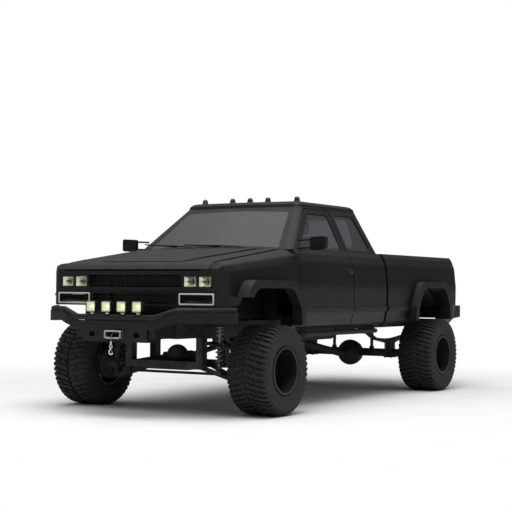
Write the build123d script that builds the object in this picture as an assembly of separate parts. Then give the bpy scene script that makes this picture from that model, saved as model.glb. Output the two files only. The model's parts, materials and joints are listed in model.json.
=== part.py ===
"""Lifted off-road extended-cab pickup truck, full size, in millimetres.

X points to the truck's left, Y to its rear and Z up. Stations along Y are first
measured from the front axle. Every piece is shifted when it is written, so that the
origin lies on the ground under the middle of the truck.
"""
from build123d import *

import math
import os

# Overall places, as stations behind the front axle
BUMPER_FACE_Y = -985
SEAT_GAP = 0.3
FAIRLEAD_Y = BUMPER_FACE_Y - SEAT_GAP
HOOK_DROP_Y = FAIRLEAD_Y - 40
FERRULE_RADIUS = 9
FRONT_END = HOOK_DROP_Y - FERRULE_RADIUS
REAR_END = 4730
WHEELBASE = 3594
MIDDLE = (FRONT_END + REAR_END) / 2

# Wheels and tyres
TYRE_RADIUS = 410
TYRE_WIDTH = 420
HALF_TRACK = 1000
BEAD_RADIUS = 206.5
RIM_RADIUS = BEAD_RADIUS - SEAT_GAP
RIM_WALL = 9
RIM_LIP_RADIUS = 217
RIM_HALF_WIDTH = 190
DISC_Z = -25
DISC_THICKNESS = 16
HUB_BORE_RADIUS = 54
NUT_CIRCLE_RADIUS = 69.85
NUT_COUNT = 6
SPIN_GAP = 0.6

# Steering
KINGPIN_X = 722
STEERING_ARM = 170
TIE_ROD_Z = 335
TIE_ROD_RADIUS = 13
TIE_END_HEIGHT = 32

# Body heights
ROCKER_Z = 740
FLOOR_Z = 862
FLOOR_THICKNESS = 34
BELT_Z = 1528
RAIL_Z = 1535
ROOF_EDGE_Z = 1972
ROOF_RADIUS = 62
ROOF_CROWN = 14

# Body stations
NOSE_Y = -700
FENDER_FRONT_Y = -600
FENDER_REAR_Y = 553
DOOR_FRONT_Y = 561
DOOR_REAR_Y = 1670
CAB_REAR_Y = 2440
BED_FRONT_Y = 2490
BED_REAR_Y = 4380
COWL_Y = 440

# Gaps and wall thicknesses
DOOR_GAP = 8
DOOR_REAR_GAP = 14
BODY_WALL = 60
PILLAR_WALL = 26
SKIN = 8
GLASS = 6
GLASS_INSET = 8
SILL_X = 917
SILL_TOP_Z = 905

# Frame
FRAME_X = 440
FRAME_WIDTH = 76
FRAME_TOP_Z = 838
FRAME_HEIGHT = 145
FRAME_BOTTOM_Z = FRAME_TOP_Z - FRAME_HEIGHT
FRAME_FRONT_Y = -640
FRAME_REAR_Y = 4400

# Side section of the body: half width, height, corner radius
BODY_SIDE = [
    (925, ROCKER_Z, 0),
    (985, 800, 60),
    (1018, 960, 300),
    (1022, 1180, 500),
    (1000, 1400, 150),
    (962, 1484, 60),
    (932, BELT_Z, 0),
]


def outline(plane, rows):
    """A closed face from rows of (u, v, corner radius) on a plane."""
    points = [Vector(u, v) for u, v, r in rows]
    edges, ends = [], []
    count = len(rows)
    for i, (u, v, radius) in enumerate(rows):
        here, before, after = points[i], points[i - 1], points[(i + 1) % count]
        if radius == 0:
            ends.append((here, here, None))
            continue
        a, b = (before - here).normalized(), (after - here).normalized()
        half = math.radians(a.get_angle(b)) / 2
        reach = radius / math.tan(half)
        reach = min(reach, 0.49 * (before - here).length, 0.49 * (after - here).length)
        middle = (a + b).normalized()
        radius = reach * math.tan(half)
        crown = here + middle * (radius / math.sin(half) - radius)
        ends.append((here + a * reach, here + b * reach, crown))
    for i in range(count):
        start, stop, crown = ends[i]
        if crown is not None:
            edges.append(ThreePointArc(start, crown, stop))
        following = ends[(i + 1) % count][0]
        if (following - stop).length > 1e-6:
            edges.append(Line(stop, following))
    return plane * make_face(edges)


def side_plane(x):
    """The plane at X = x, with u along Y and v along Z."""
    return Plane(origin=(x, 0, 0), x_dir=(0, 1, 0), z_dir=(1, 0, 0))


def cross_plane(y):
    """The plane at Y = y, with u along X and v along Z."""
    return Plane(origin=(0, y, 0), x_dir=(1, 0, 0), z_dir=(0, -1, 0))


def along_x(rows, x0, x1):
    """A side outline of (y, z, radius) rows, extruded from x0 to x1."""
    return extrude(outline(side_plane(x0), rows), amount=x1 - x0)


def along_y(rows, y0, y1):
    """A cross outline of (x, z, radius) rows, extruded from y0 to y1."""
    return extrude(outline(cross_plane(y0), rows), amount=-(y1 - y0))


def along_z(rows, z0, z1):
    """A plan outline of (x, y, radius) rows, extruded from z0 to z1."""
    return extrude(outline(Plane.XY.offset(z0), rows), amount=z1 - z0)


def block(x0, x1, y0, y1, z0, z1):
    """A box between two corners."""
    size = (x1 - x0, y1 - y0, z1 - z0)
    return Pos((x0 + x1) / 2, (y0 + y1) / 2, (z0 + z1) / 2) * Box(*size)


def rod(start, stop, radius):
    """A round bar between two points."""
    start, stop = Vector(start), Vector(stop)
    plane = Plane(origin=start, z_dir=(stop - start).normalized())
    return extrude(plane * Circle(radius), amount=(stop - start).length)


def pipe(points, radius, bend):
    """A round tube bent along a list of points."""
    path = FilletPolyline(*points, radius=bend)
    return sweep((path ^ 0) * Circle(radius), path=path)


def mirrored(shape):
    """The same piece on the truck's other side."""
    return mirror(shape, about=Plane.YZ)


def solids_of(shape):
    """The solids of a shape, as a plain list."""
    return [Solid(s.wrapped) for s in shape.solids()]


def gathered(*shapes):
    """Separate solids that share one node."""
    return Compound([s for shape in shapes for s in solids_of(shape)])


def both_sides(shape):
    """A left piece and its right twin, as separate solids."""
    return gathered(shape, mirrored(shape))


def fused(shapes):
    """One solid from pieces that run into each other."""
    whole = shapes[0]
    for shape in shapes[1:]:
        whole += shape
    return whole


def full_section(rows, inset=0, floor=None):
    """A closed left-to-right section from half-width rows, moved in by inset."""
    left = [(x - inset, z if floor is None else max(z, floor), r) for x, z, r in rows]
    right = [(-x, z, r) for x, z, r in reversed(left)]
    return left + right


# Cab

# Plan of the glasshouse at the belt and at the roof edge:
# half width at front, half width at rear, centre front, corner front, rear, corner radius
GLASSHOUSE_BELT = (905, 928, 505, 590, CAB_REAR_Y, 85)
GLASSHOUSE_ROOF = (690, 715, 1075, 1125, 2330, 85)


def glasshouse_plan(share, inset):
    """Rows of the glasshouse plan, at a share of the way from belt to roof edge."""
    at = [a + (b - a) * share for a, b in zip(GLASSHOUSE_BELT, GLASSHOUSE_ROOF)]
    front_x, rear_x, centre_y, corner_y, rear_y, radius = at
    return [
        (0, centre_y + inset, 2600),
        (front_x - inset, corner_y + inset, radius),
        (rear_x - inset, rear_y - inset, radius),
        (-(rear_x - inset), rear_y - inset, radius),
        (-(front_x - inset), corner_y + inset, radius),
    ]


def glasshouse(inset, base_z):
    """The glasshouse as a solid, moved in all round by inset."""
    share = (base_z - BELT_Z) / (ROOF_EDGE_Z - BELT_Z)
    sections = [(share, inset, base_z), (1, inset, ROOF_EDGE_Z)]
    bend = ROOF_RADIUS - inset
    for angle in (30, 60, 90):
        turn = math.radians(angle)
        pull = bend * (1 - math.cos(turn))
        sections.append((1, inset + pull, ROOF_EDGE_Z + bend * math.sin(turn)))
    sections.append((1, 4 * ROOF_RADIUS, ROOF_EDGE_Z + bend + ROOF_CROWN))
    faces = [outline(Plane.XY.offset(z), glasshouse_plan(s, i)) for s, i, z in sections]
    return loft(faces, ruled=True)


WINDSHIELD_SLOPE = (ROOF_EDGE_Z - BELT_Z) / (GLASSHOUSE_ROOF[3] - GLASSHOUSE_BELT[3])
DOOR_TOP_Z = ROOF_EDGE_Z - 18
PILLAR_FOOT_Y = 668
PILLAR_TOP_Y = PILLAR_FOOT_Y + (DOOR_TOP_Z - BELT_Z) / WINDSHIELD_SLOPE
SIDE_CUT_X = (560, 1100)

DOOR_WINDOW = [
    (PILLAR_FOOT_Y + 70, BELT_Z + 8, 25),
    (DOOR_REAR_Y - 60, BELT_Z + 8, 25),
    (DOOR_REAR_Y - 60, DOOR_TOP_Z - 48, 45),
    (PILLAR_TOP_Y + 38, DOOR_TOP_Z - 48, 40),
]
QUARTER_WINDOW = [
    (DOOR_REAR_Y + 78, BELT_Z + 20, 30),
    (CAB_REAR_Y - 175, BELT_Z + 20, 40),
    (CAB_REAR_Y - 265, DOOR_TOP_Z - 40, 60),
    (DOOR_REAR_Y + 78, DOOR_TOP_Z - 40, 30),
]
BACKLIGHT = [(-640, 1600, 50), (640, 1600, 50), (580, 1900, 60), (-580, 1900, 60)]
WINDSHIELD_MARGIN = 50


def door_rows(grow, rear_grow):
    """The door's side outline, grown by the shut gaps."""
    low = ROCKER_Z + 45 - grow
    return [
        (DOOR_FRONT_Y - grow, low, 0),
        (DOOR_REAR_Y + rear_grow, low, 0),
        (DOOR_REAR_Y + rear_grow, DOOR_TOP_Z + grow, 0),
        (PILLAR_TOP_Y - grow, DOOR_TOP_Z + grow, 40),
        (PILLAR_FOOT_Y - grow, BELT_Z, 60),
        (DOOR_FRONT_Y - grow, BELT_Z - 60, 20),
    ]


def windshield_prism(gap):
    """The windshield opening, as a prism square to the glass."""
    foot = Vector(0, GLASSHOUSE_BELT[2], BELT_Z)
    head = Vector(0, GLASSHOUSE_ROOF[2], ROOF_EDGE_Z)
    up = (head - foot).normalized()
    across = Vector(1, 0, 0)
    plane = Plane(origin=foot, x_dir=across, z_dir=across.cross(up))
    low = WINDSHIELD_MARGIN + gap
    high = (head - foot).length - WINDSHIELD_MARGIN / 2 - gap
    foot_x = GLASSHOUSE_BELT[0] - 100 - gap
    head_x = GLASSHOUSE_ROOF[0] - 62 - gap
    rows = [(-foot_x, low, 50), (foot_x, low, 50), (head_x, high, 60), (-head_x, high, 60)]
    return extrude(outline(plane, rows), amount=110, both=True)


def shrunk(rows, gap):
    """Outline rows pulled towards their middle by a gap."""
    middle_u = sum(row[0] for row in rows) / len(rows)
    middle_v = sum(row[1] for row in rows) / len(rows)
    return [
        (u - math.copysign(gap, u - middle_u), v - math.copysign(gap, v - middle_v), r)
        for u, v, r in rows
    ]


def cab_skin():
    """The cab's walls and roof before the doors are parted from them."""
    skin = along_y(full_section(BODY_SIDE), FENDER_REAR_Y, CAB_REAR_Y)
    skin += glasshouse(0, BELT_Z)
    hollow_rows = [(x - BODY_WALL, max(z, FLOOR_Z), 0) for x, z, r in BODY_SIDE[1:]]
    skin -= along_y(full_section(hollow_rows), 400, CAB_REAR_Y - BODY_WALL)
    skin -= glasshouse(PILLAR_WALL, BELT_Z - 1)
    under_x = BODY_SIDE[0][0] - BODY_WALL
    return skin - block(-under_x, under_x, 0, 3000, 700, FLOOR_Z)


def cab_floor():
    """Floor, bulkhead, cowl and sills, which tie the cab's walls together."""
    bulkhead_y = COWL_Y + 30
    floor_x = BODY_SIDE[0][0] - BODY_WALL + 2
    base = block(-floor_x, floor_x, bulkhead_y, CAB_REAR_Y - 50, FLOOR_Z, FLOOR_Z + FLOOR_THICKNESS)
    base += block(-800, 800, bulkhead_y, bulkhead_y + 70, FLOOR_Z, 1450)
    cowl_rows = [
        (COWL_Y + 10, 1440, 0),
        (FENDER_REAR_Y + 1, 1440, 0),
        (FENDER_REAR_Y + 1, BELT_Z + 2, 0),
        (510, BELT_Z + 2, 0),
        (COWL_Y + 10, BELT_Z - 8, 0),
    ]
    base += along_x(cowl_rows, -805, 805)
    base += block(-900, 900, FENDER_REAR_Y + 1, 600, 1440, BELT_Z + 1)
    sill = block(floor_x - 60, SILL_X, FENDER_REAR_Y + 1, CAB_REAR_Y - 50, FLOOR_Z - 60, SILL_TOP_Z)
    return base + sill + mirrored(sill)


def side_moulding(y0, y1):
    """A rub strip on the left side, still running into the body."""
    rows = [(990, 912, 0), (1030, 918, 6), (1032, 972, 8), (990, 982, 0)]
    return along_y(rows, y0, y1)


def mirror_head():
    """Left door mirror: head on two arms."""
    head = along_y([(1040, 1520, 20), (1205, 1528, 20), (1205, 1655, 20), (1040, 1648, 20)], 700, 752)
    for z in (1548, 1625):
        head += rod((890, 735, z - 6), (1060, 728, z), 9)
    return head


def cab_pieces():
    """The cab shell, its glass, the left door and the left door glass."""
    skin = cab_skin()
    sill = block(0, SILL_X, 0, 3000, 700, SILL_TOP_Z)
    inner_sill = block(0, SILL_X + DOOR_GAP, 0, 3000, 700, SILL_TOP_Z + DOOR_GAP)
    opening = along_x(door_rows(DOOR_GAP, DOOR_REAR_GAP), *SIDE_CUT_X) - sill
    prism = along_x(door_rows(0, 0), *SIDE_CUT_X) - inner_sill
    quarter = along_x(QUARTER_WINDOW, *SIDE_CUT_X)
    backlight = along_y(BACKLIGHT, CAB_REAR_Y - 240, CAB_REAR_Y + 60)
    moulding = side_moulding(DOOR_REAR_Y + DOOR_REAR_GAP + 4, CAB_REAR_Y - 6)
    cab = skin + cab_floor()
    cab += moulding
    cab += mirrored(moulding)
    for cut in (opening, quarter):
        cab -= cut
        cab -= mirrored(cut)
    cab -= backlight
    cab -= windshield_prism(0)
    seal_x = SILL_X + DOOR_GAP - SEAT_GAP
    seal = block(SILL_X - 1, seal_x, DOOR_FRONT_Y + 40, DOOR_REAR_Y - 40, FLOOR_Z - 10, FLOOR_Z + 20)
    cab += seal
    cab += mirrored(seal)
    window = along_x(DOOR_WINDOW, *SIDE_CUT_X)
    door = (skin & prism) - window
    door += side_moulding(DOOR_FRONT_Y + 14, DOOR_REAR_Y - 4)
    door += mirror_head()
    pane = glasshouse(GLASS_INSET, BELT_Z) - glasshouse(GLASS_INSET + GLASS, BELT_Z - 1)
    door_glass = pane & along_x(shrunk(DOOR_WINDOW, SEAT_GAP), *SIDE_CUT_X)
    side_glass = pane & along_x(shrunk(QUARTER_WINDOW, SEAT_GAP), *SIDE_CUT_X)
    rear_glass = pane & along_y(shrunk(BACKLIGHT, SEAT_GAP), CAB_REAR_Y - 240, CAB_REAR_Y + 60)
    front_glass = pane & windshield_prism(SEAT_GAP)
    return cab, gathered(front_glass, rear_glass, both_sides(side_glass)), door, door_glass


def roof_lamps():
    """Five marker lamps along the front of the roof."""
    lamps = []
    for x in ROOF_LAMP_XS:
        lamp = Cylinder(30, 40) + Pos(0, 0, 20) * (Sphere(30) & Pos(0, 0, 15) * Box(60, 60, 30))
        lamps.append(Pos(x, 1290, ROOF_EDGE_Z + ROOF_RADIUS + 8) * lamp - ROOF_SEAT)
    return gathered(*lamps)


ROOF_LAMP_XS = (-560, -215, 0, 215, 560)
ROOF_SEAT = glasshouse(-SEAT_GAP, BELT_Z)


def seats():
    """Two front seats with head rests and a rear bench."""
    base_z = FLOOR_Z + FLOOR_THICKNESS + SEAT_GAP
    pieces = []
    cushion_rows = [(1010, base_z + 60, 20), (1010, base_z + 300, 50),
                    (1530, base_z + 260, 40), (1530, base_z + 60, 20)]
    back_rows = [(1500, base_z + 120, 30), (1440, base_z + 250, 10), (1610, 1730, 50),
                 (1700, 1720, 50), (1640, base_z + 120, 30)]
    rest_rows = [(1612, 1700, 20), (1650, 1870, 35), (1705, 1870, 35), (1690, 1700, 20)]
    for x in (-390, 390):
        seat = along_x(cushion_rows, x - 250, x + 250) + along_x(back_rows, x - 240, x + 240)
        seat += along_x(rest_rows, x - 120, x + 120)
        pieces.append(seat + block(x - 200, x + 200, 1050, 1500, base_z, base_z + 90))
    bench_rows = [(1950, base_z, 0), (1950, base_z + 330, 40), (2210, base_z + 310, 20),
                  (2240, 1640, 40), (2330, 1640, 40), (2360, base_z, 0)]
    pieces.append(along_x(bench_rows, -700, 700))
    return gathered(*pieces)


def dashboard():
    """Dashboard with the steering column and wheel, in one piece."""
    front = 600 + SEAT_GAP
    dash_rows = [(front, 1120, 0), (860, 1130, 40), (880, 1380, 60), (760, 1480, 80),
                 (front, 1500, 0)]
    dash = along_x(dash_rows, -800, 800)
    dash += rod((390, 800, 1315), (390, 975, 1408), 28)
    rim = Torus(185, 15) + Cylinder(52, 30)
    for angle in (0, 90, 180):
        rim += Rot(0, 0, angle) * Pos(110, 0, 0) * Box(150, 34, 12)
    return dash + Pos(390, 982, 1412) * Rot(-62, 0, 0) * rim


# Front clip

# Fender section at its rear and at its nose: half width, height, corner radius
FENDER_SECTION = [
    ((925, ROCKER_Z, 0), (915, ROCKER_Z, 0)),
    ((985, 800, 60), (950, 800, 60)),
    ((1018, 960, 300), (968, 960, 300)),
    ((1022, 1180, 500), (970, 1120, 500)),
    ((1000, 1400, 150), (954, 1290, 110)),
    ((962, 1476, 60), (925, 1352, 45)),
    ((888, 1514, 60), (880, 1372, 30)),
    ((818, 1530, 0), (818, 1378, 0)),
]
APRON_X = 640
APRON_LOW_Z = 880
HOOD_X = 812


def fender_faces(build):
    """The fender's two end faces, from a function that closes an outer line."""
    stations = (FENDER_REAR_Y, FENDER_FRONT_Y)
    return [
        outline(cross_plane(y), build([row[end] for row in FENDER_SECTION]))
        for end, y in enumerate(stations)
    ]


def sheet_rows(outer):
    """Closes a fender's outer line into a bent sheet with shelf and apron."""
    top_x, top_z, _ = outer[-1]
    shelf_z = top_z - 40
    apron = [(top_x, shelf_z, 0), (APRON_X, shelf_z - 20, 30), (APRON_X, APRON_LOW_Z, 0),
             (APRON_X + SKIN, APRON_LOW_Z, 0), (APRON_X + SKIN, shelf_z - 28, 30)]
    inner = [(x - SKIN, z, r) for x, z, r in outer[:-3]]
    inner.append((outer[-3][0] - SKIN, outer[-3][1] - SKIN, outer[-3][2]))
    inner.append((outer[-2][0], outer[-2][1] - SKIN, outer[-2][2]))
    inner.append((top_x + SKIN, top_z - SKIN, 0))
    inner.append((top_x + SKIN, shelf_z - SKIN, 0))
    return outer + apron + inner[::-1]


def solid_rows(outer):
    """Closes a fender's outer line across the truck's middle, for seating."""
    return [(x + SEAT_GAP, z, r) for x, z, r in outer] + [(0, outer[-1][1], 0), (0, outer[0][1], 0)]


def front_arch(inset):
    """The front wheel opening, as side outline rows."""
    return [
        (-510 + inset, 600, 0),
        (-500 + inset, 960, 150),
        (-330 + inset, 1152 - inset, 150),
        (300 - inset, 1152 - inset, 150),
        (455 - inset, 960, 150),
        (475 - inset, 600, 0),
    ]


def rear_arch(inset):
    """The rear wheel opening, as side outline rows."""
    return [
        (WHEELBASE - 470 + inset, 600, 0),
        (WHEELBASE - 440 + inset, 960, 150),
        (WHEELBASE - 290 + inset, 1168 - inset, 150),
        (WHEELBASE + 290 - inset, 1168 - inset, 150),
        (WHEELBASE + 430 - inset, 960, 150),
        (WHEELBASE + 460 - inset, 600, 0),
    ]


def front_fenders():
    """Both front wings, each a bent sheet with its inner apron."""
    sheet = loft(fender_faces(sheet_rows), ruled=True)
    sheet -= along_x(front_arch(0), APRON_X + 60, 1200)
    sheet -= block(500, 1200, FENDER_FRONT_Y - 10, -430, 600, 1000)
    sheet -= block(0, 817, COWL_Y, 700, 700, 1600)
    return both_sides(sheet)


# Top line of the hood, from cowl to nose: station, height, corner radius
HOOD_TOP = [(COWL_Y, 1526, 0), (-430, 1410, 1500), (-640, 1378, 150), (-702, 1314, 0)]
HOOD_THICKNESS = 24
HOOD_RISE = 10


def hood():
    """The bonnet: a bent panel with a raised middle."""
    rear, middle, front, nose = HOOD_TOP
    under = [
        (nose[0] + 30, nose[1], 0),
        (front[0] + 18, front[1] - HOOD_THICKNESS, 140),
        (middle[0], middle[1] - HOOD_THICKNESS, 1500),
        (COWL_Y, rear[1] - HOOD_THICKNESS, 0),
    ]
    panel = along_x(HOOD_TOP + under, -HOOD_X, HOOD_X)
    raised = [(COWL_Y - 14, rear[1] + HOOD_RISE, 0), (-430, middle[1] + HOOD_RISE, 1500),
              (-600, 1390, 0), (-600, 1370, 0), (COWL_Y - 14, rear[1] - 12, 0)]
    plan = [(-600, COWL_Y, 0), (600, COWL_Y, 0), (470, -600, 60), (-470, -600, 60)]
    return panel + (along_x(raised, -620, 620) & along_z(plan, 1300, 1600))


# Openings of the front face: low x, high x, low z, high z, corner radius
HEADLAMPS = [(545, 677, 1158, 1250, 12), (703, 835, 1158, 1250, 12)]
TURN_LAMP = (500, 872, 998, 1102, 14)
LAMP_RING = 16
GRILLE_OPENING = (-520, 520, 1156, 1264, 14)
LOWER_OPENING = (-470, 470, 1000, 1096, 14)
FACE_BOTTOM_Z = 985
FACE_TOP_Z = 1302
FACE_DEPTH = 46
FACE_X = 968


def face_plan(inset, tail):
    """Plan rows of the front face, wrapped round both corners."""
    half = FACE_X - inset
    front = NOSE_Y + inset
    return [(half, tail, 0), (-half, tail, 0), (-half, front + 60, 40),
            (-half + 75, front, 60), (half - 75, front, 60), (half, front + 60, 40)]


def slot_rows(size, grow=0):
    """Cross outline rows of a rounded rectangle."""
    x0, x1, z0, z1, radius = size
    return [(x0 - grow, z0 - grow, radius), (x1 + grow, z0 - grow, radius),
            (x1 + grow, z1 + grow, radius), (x0 - grow, z1 + grow, radius)]


def front_face():
    """The front face: surround, lamp openings, grille bars and lamp rings."""
    tail = FENDER_FRONT_Y - SEAT_GAP
    face = along_z(face_plan(0, tail), FACE_BOTTOM_Z, FACE_TOP_Z)
    cap_rows = [(tail, 1290, 0), (NOSE_Y + 2, 1290, 0), (NOSE_Y + 6, 1316, 0),
                (-648, 1366, 0), (tail, 1374, 0)]
    cap = along_x(cap_rows, 818, 1000) & along_z(face_plan(0, tail), 1200, 1400)
    slant = along_y([(818, 1200, 0), (FACE_X, 1200, 0), (952, 1290, 60), (925, 1350, 40),
                     (880, 1374, 30), (818, 1378, 0)], -800, -500)
    cap = cap & slant
    face += cap + mirrored(cap)
    face -= along_z(face_plan(FACE_DEPTH, tail + 20), FACE_BOTTOM_Z - 5, FACE_TOP_Z - 14)
    rings = []
    y0, y1 = NOSE_Y - 20, NOSE_Y + 90
    for size in HEADLAMPS + [TURN_LAMP]:
        hole = along_y(slot_rows(size), y0, y1)
        face -= hole
        face -= mirrored(hole)
    for size in (GRILLE_OPENING, LOWER_OPENING):
        face -= along_y(slot_rows(size), y0, y1)
    face += grid(GRILLE_OPENING, 4, 9)
    face += grid(LOWER_OPENING, 2, 0)
    face += block(-900, 900, NOSE_Y - 6, NOSE_Y + 6, 1118, 1140)
    ring = lamp_block(TURN_LAMP, NOSE_Y - 5, 40, -1) - lamp_block(TURN_LAMP, NOSE_Y - 10, 60, LAMP_RING)
    return face + ring + mirrored(ring)


def grid(opening, across, upright):
    """Crossed bars that fill an opening of the front face."""
    x0, x1, z0, z1, _ = opening
    bar, y0, y1 = 7, NOSE_Y + 10, NOSE_Y + 30
    bars = []
    for i in range(1, across + 1):
        z = z0 + (z1 - z0) * i / (across + 1)
        bars.append(block(x0 - 1, x1 + 1, y0, y1, z - bar / 2, z + bar / 2))
    for i in range(1, upright + 1):
        x = x0 + (x1 - x0) * i / (upright + 1)
        bars.append(block(x - bar / 2, x + bar / 2, y0 + 3, y1 - 3, z0 - 1, z1 + 1))
    return fused(bars)


def lamp_block(size, front, depth, gap):
    """A rounded block that fills an opening but for a gap."""
    return along_y(slot_rows(size, -gap), front, front + depth)


def front_lamps():
    """Four headlamps and two wide lamps under them."""
    lamps = [lamp_block(size, NOSE_Y + 4, 42, SEAT_GAP) for size in HEADLAMPS]
    lamps.append(lamp_block(TURN_LAMP, NOSE_Y + 6, 36, LAMP_RING + SEAT_GAP))
    return gathered(*[both_sides(lamp) for lamp in lamps])


def radiator():
    """Radiator core in its support, which ties frame, aprons and front face."""
    edge = APRON_X - SEAT_GAP
    support = block(-edge, edge, -596, -566, FRAME_TOP_Z + SEAT_GAP, 1296)
    support -= block(-350, 350, -600, -560, 900, 1250)
    for x in (-600, 600):
        support += block(x - 30, x + 30, NOSE_Y + FACE_DEPTH + SEAT_GAP, -590, 1118, 1146)
        buffer = rod((x * 0.8, -581, 1290), (x * 0.8, -581, 1372), 14)
        support += buffer - Pos(0, 0, -SEAT_GAP) * hood()
    return support + block(-370, 370, -567, -510, 880, 1270)


# Front bumper

PLATE_X = 362
PLATE_LOW_Z = 668
PLATE_TOP_Z = 852
TUBE_RADIUS = 27
# Left half of the top tube: x, station, height
BUMPER_TUBE = [(430, -968, 884), (620, -915, 948), (850, -800, 950), (1005, -560, 952)]
POD_XS = (-255, -85, 85, 255)
BUMPER_WING = [(350, -985, 0), (560, -973, 60), (850, -850, 80), (1030, -590, 40), (1030, -560, 0),
               (1008, -560, 0), (838, -820, 80), (555, -945, 60), (350, -957, 0)]


def front_bumper():
    """Winch bumper: centre tray, swept wings and a bent top tube."""
    y0 = BUMPER_FACE_Y
    tray = block(-PLATE_X, PLATE_X, y0, -780, PLATE_LOW_Z, PLATE_TOP_Z)
    tray -= block(-PLATE_X + 12, PLATE_X - 12, y0 + 14, -770, PLATE_LOW_Z + 12, PLATE_TOP_Z - 12)
    for x0, x1, z0, z1 in TRAY_SLOTS:
        tray -= along_y(slot_rows((x0, x1, z0, z1, 8)), y0 - 5, y0 + 20)
    wing = along_z(BUMPER_WING, 760, 936)
    low = [(300, 700, 0), (300, 778, 0), (420, 778, 0), (640, 846, 0), (1100, 832, 0), (1100, 700, 0)]
    high = [(300, 1000, 0), (300, 852, 0), (430, 856, 0), (640, 936, 0), (640, 1000, 0)]
    wing -= along_y(low, -1100, -400)
    wing -= along_y(high, -1100, -400)
    arm_y = FRAME_FRONT_Y - SEAT_GAP
    arm = block(FRAME_X - FRAME_WIDTH + 6, FRAME_X - 6, y0 + 14, arm_y, 700, 826)
    post = block(604, 636, -935, -900, 900, 940)
    left = wing + arm + post
    path = [(-x, y, z) for x, y, z in reversed(BUMPER_TUBE)] + BUMPER_TUBE
    bumper = tray + left + mirrored(left) + pipe(path, TUBE_RADIUS, 60)
    return bumper + block(-340, 340, y0 + 8, y0 + 22, PLATE_TOP_Z - 14, 870)


# Slots in the tray's front: low x, high x, low z, high z
TRAY_SLOTS = [(-279, -215, 712, 756), (215, 279, 712, 756), (-75, 75, 706, 762)]


def light_pods():
    """Four square work lamps on the bumper's top tube."""
    foot_z = 884 + TUBE_RADIUS + SEAT_GAP
    pods = []
    for x in POD_XS:
        pod = block(x - 16, x + 16, -978, -958, foot_z, foot_z + 30)
        pod += along_y(slot_rows((x - 50, x + 50, foot_z + 20, foot_z + 116, 14)), -1000, -945)
        pods.append(pod + block(x - 38, x + 38, -946, -926, foot_z + 32, foot_z + 104))
    return gathered(*pods)


CABLE_RADIUS = 4
ROLLER_Y = FAIRLEAD_Y - 20
WINDOW_Z = 734


def winch():
    """Winch with its drum and feet, fairlead, and the hook on its cable end."""
    drum = rod((-160, -880, 742), (160, -880, 742), 42)
    drum += block(-235, -150, -930, -832, PLATE_LOW_Z + 12 + SEAT_GAP, 806)
    drum += block(150, 235, -930, -832, PLATE_LOW_Z + 12 + SEAT_GAP, 806)
    frame = along_y(slot_rows((-105, 105, 698, 770, 8)), FAIRLEAD_Y - 8, FAIRLEAD_Y)
    frame -= along_y(slot_rows((-66, 66, 712, 756, 4)), FAIRLEAD_Y - 20, FAIRLEAD_Y + 10)
    for x in (-84, 84):
        frame += rod((x, ROLLER_Y, 700), (x, ROLLER_Y, 768), 10)
    for z in (704, 764):
        frame += rod((-84, ROLLER_Y, z), (84, ROLLER_Y, z), 9)
        frame += block(-100, 100, FAIRLEAD_Y - 22, FAIRLEAD_Y - 4, z - 4, z + 4)
    cable = pipe([(0, -925, WINDOW_Z), (0, HOOK_DROP_Y, WINDOW_Z), (0, HOOK_DROP_Y, 660)], CABLE_RADIUS, 18)
    return gathered(drum + rod((0, -926, WINDOW_Z), (0, -905, WINDOW_Z), CABLE_RADIUS + cable_seat()),
                    frame, cable + hook())


def cable_seat():
    """How much thicker the cable is where it leaves the drum."""
    return 2


def hook():
    """Ferrule, eye, shank and open throat of the winch hook."""
    y = HOOK_DROP_Y
    body = rod((0, y, 640), (0, y, 668), FERRULE_RADIUS)
    body += Pos(0, y, 630) * Rot(90, 0, 0) * Torus(14, 5)
    body += rod((0, y, 618), (-18, y, 585), 7)
    arc = cross_plane(y) * CenterArc((0, 578), 19, -200, 220)
    return body + sweep((arc ^ 0) * Circle(6.5), path=arc)


# Cargo bed

BED_INNER_X = 820
BED_FLOOR_Z = 1045
BED_FLOOR_THICKNESS = 40
WHEELHOUSE_X = 650
WHEELHOUSE_Z = 690
WHEELHOUSE_RADIUS = 520
TAILGATE_X = 800
TAILGATE_FRONT_Y = BED_REAR_Y - 55
TAILGATE_LOW_Z = 988
TAILGATE_REAR_Y = BED_REAR_Y + 4
TAILGATE_HINGE = (TAILGATE_REAR_Y - 14, TAILGATE_LOW_Z + 2)
TAILGATE_SIDE_GAP = 10


def half_drum(radius, x0, x1):
    """The part of a cylinder over the rear axle that stands above the side skirts."""
    drum = rod((x0, WHEELBASE, WHEELHOUSE_Z), (x1, WHEELBASE, WHEELHOUSE_Z), radius)
    return drum & block(x0 - 10, x1 + 10, WHEELBASE - 700, WHEELBASE + 700, 944, 1600)


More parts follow.
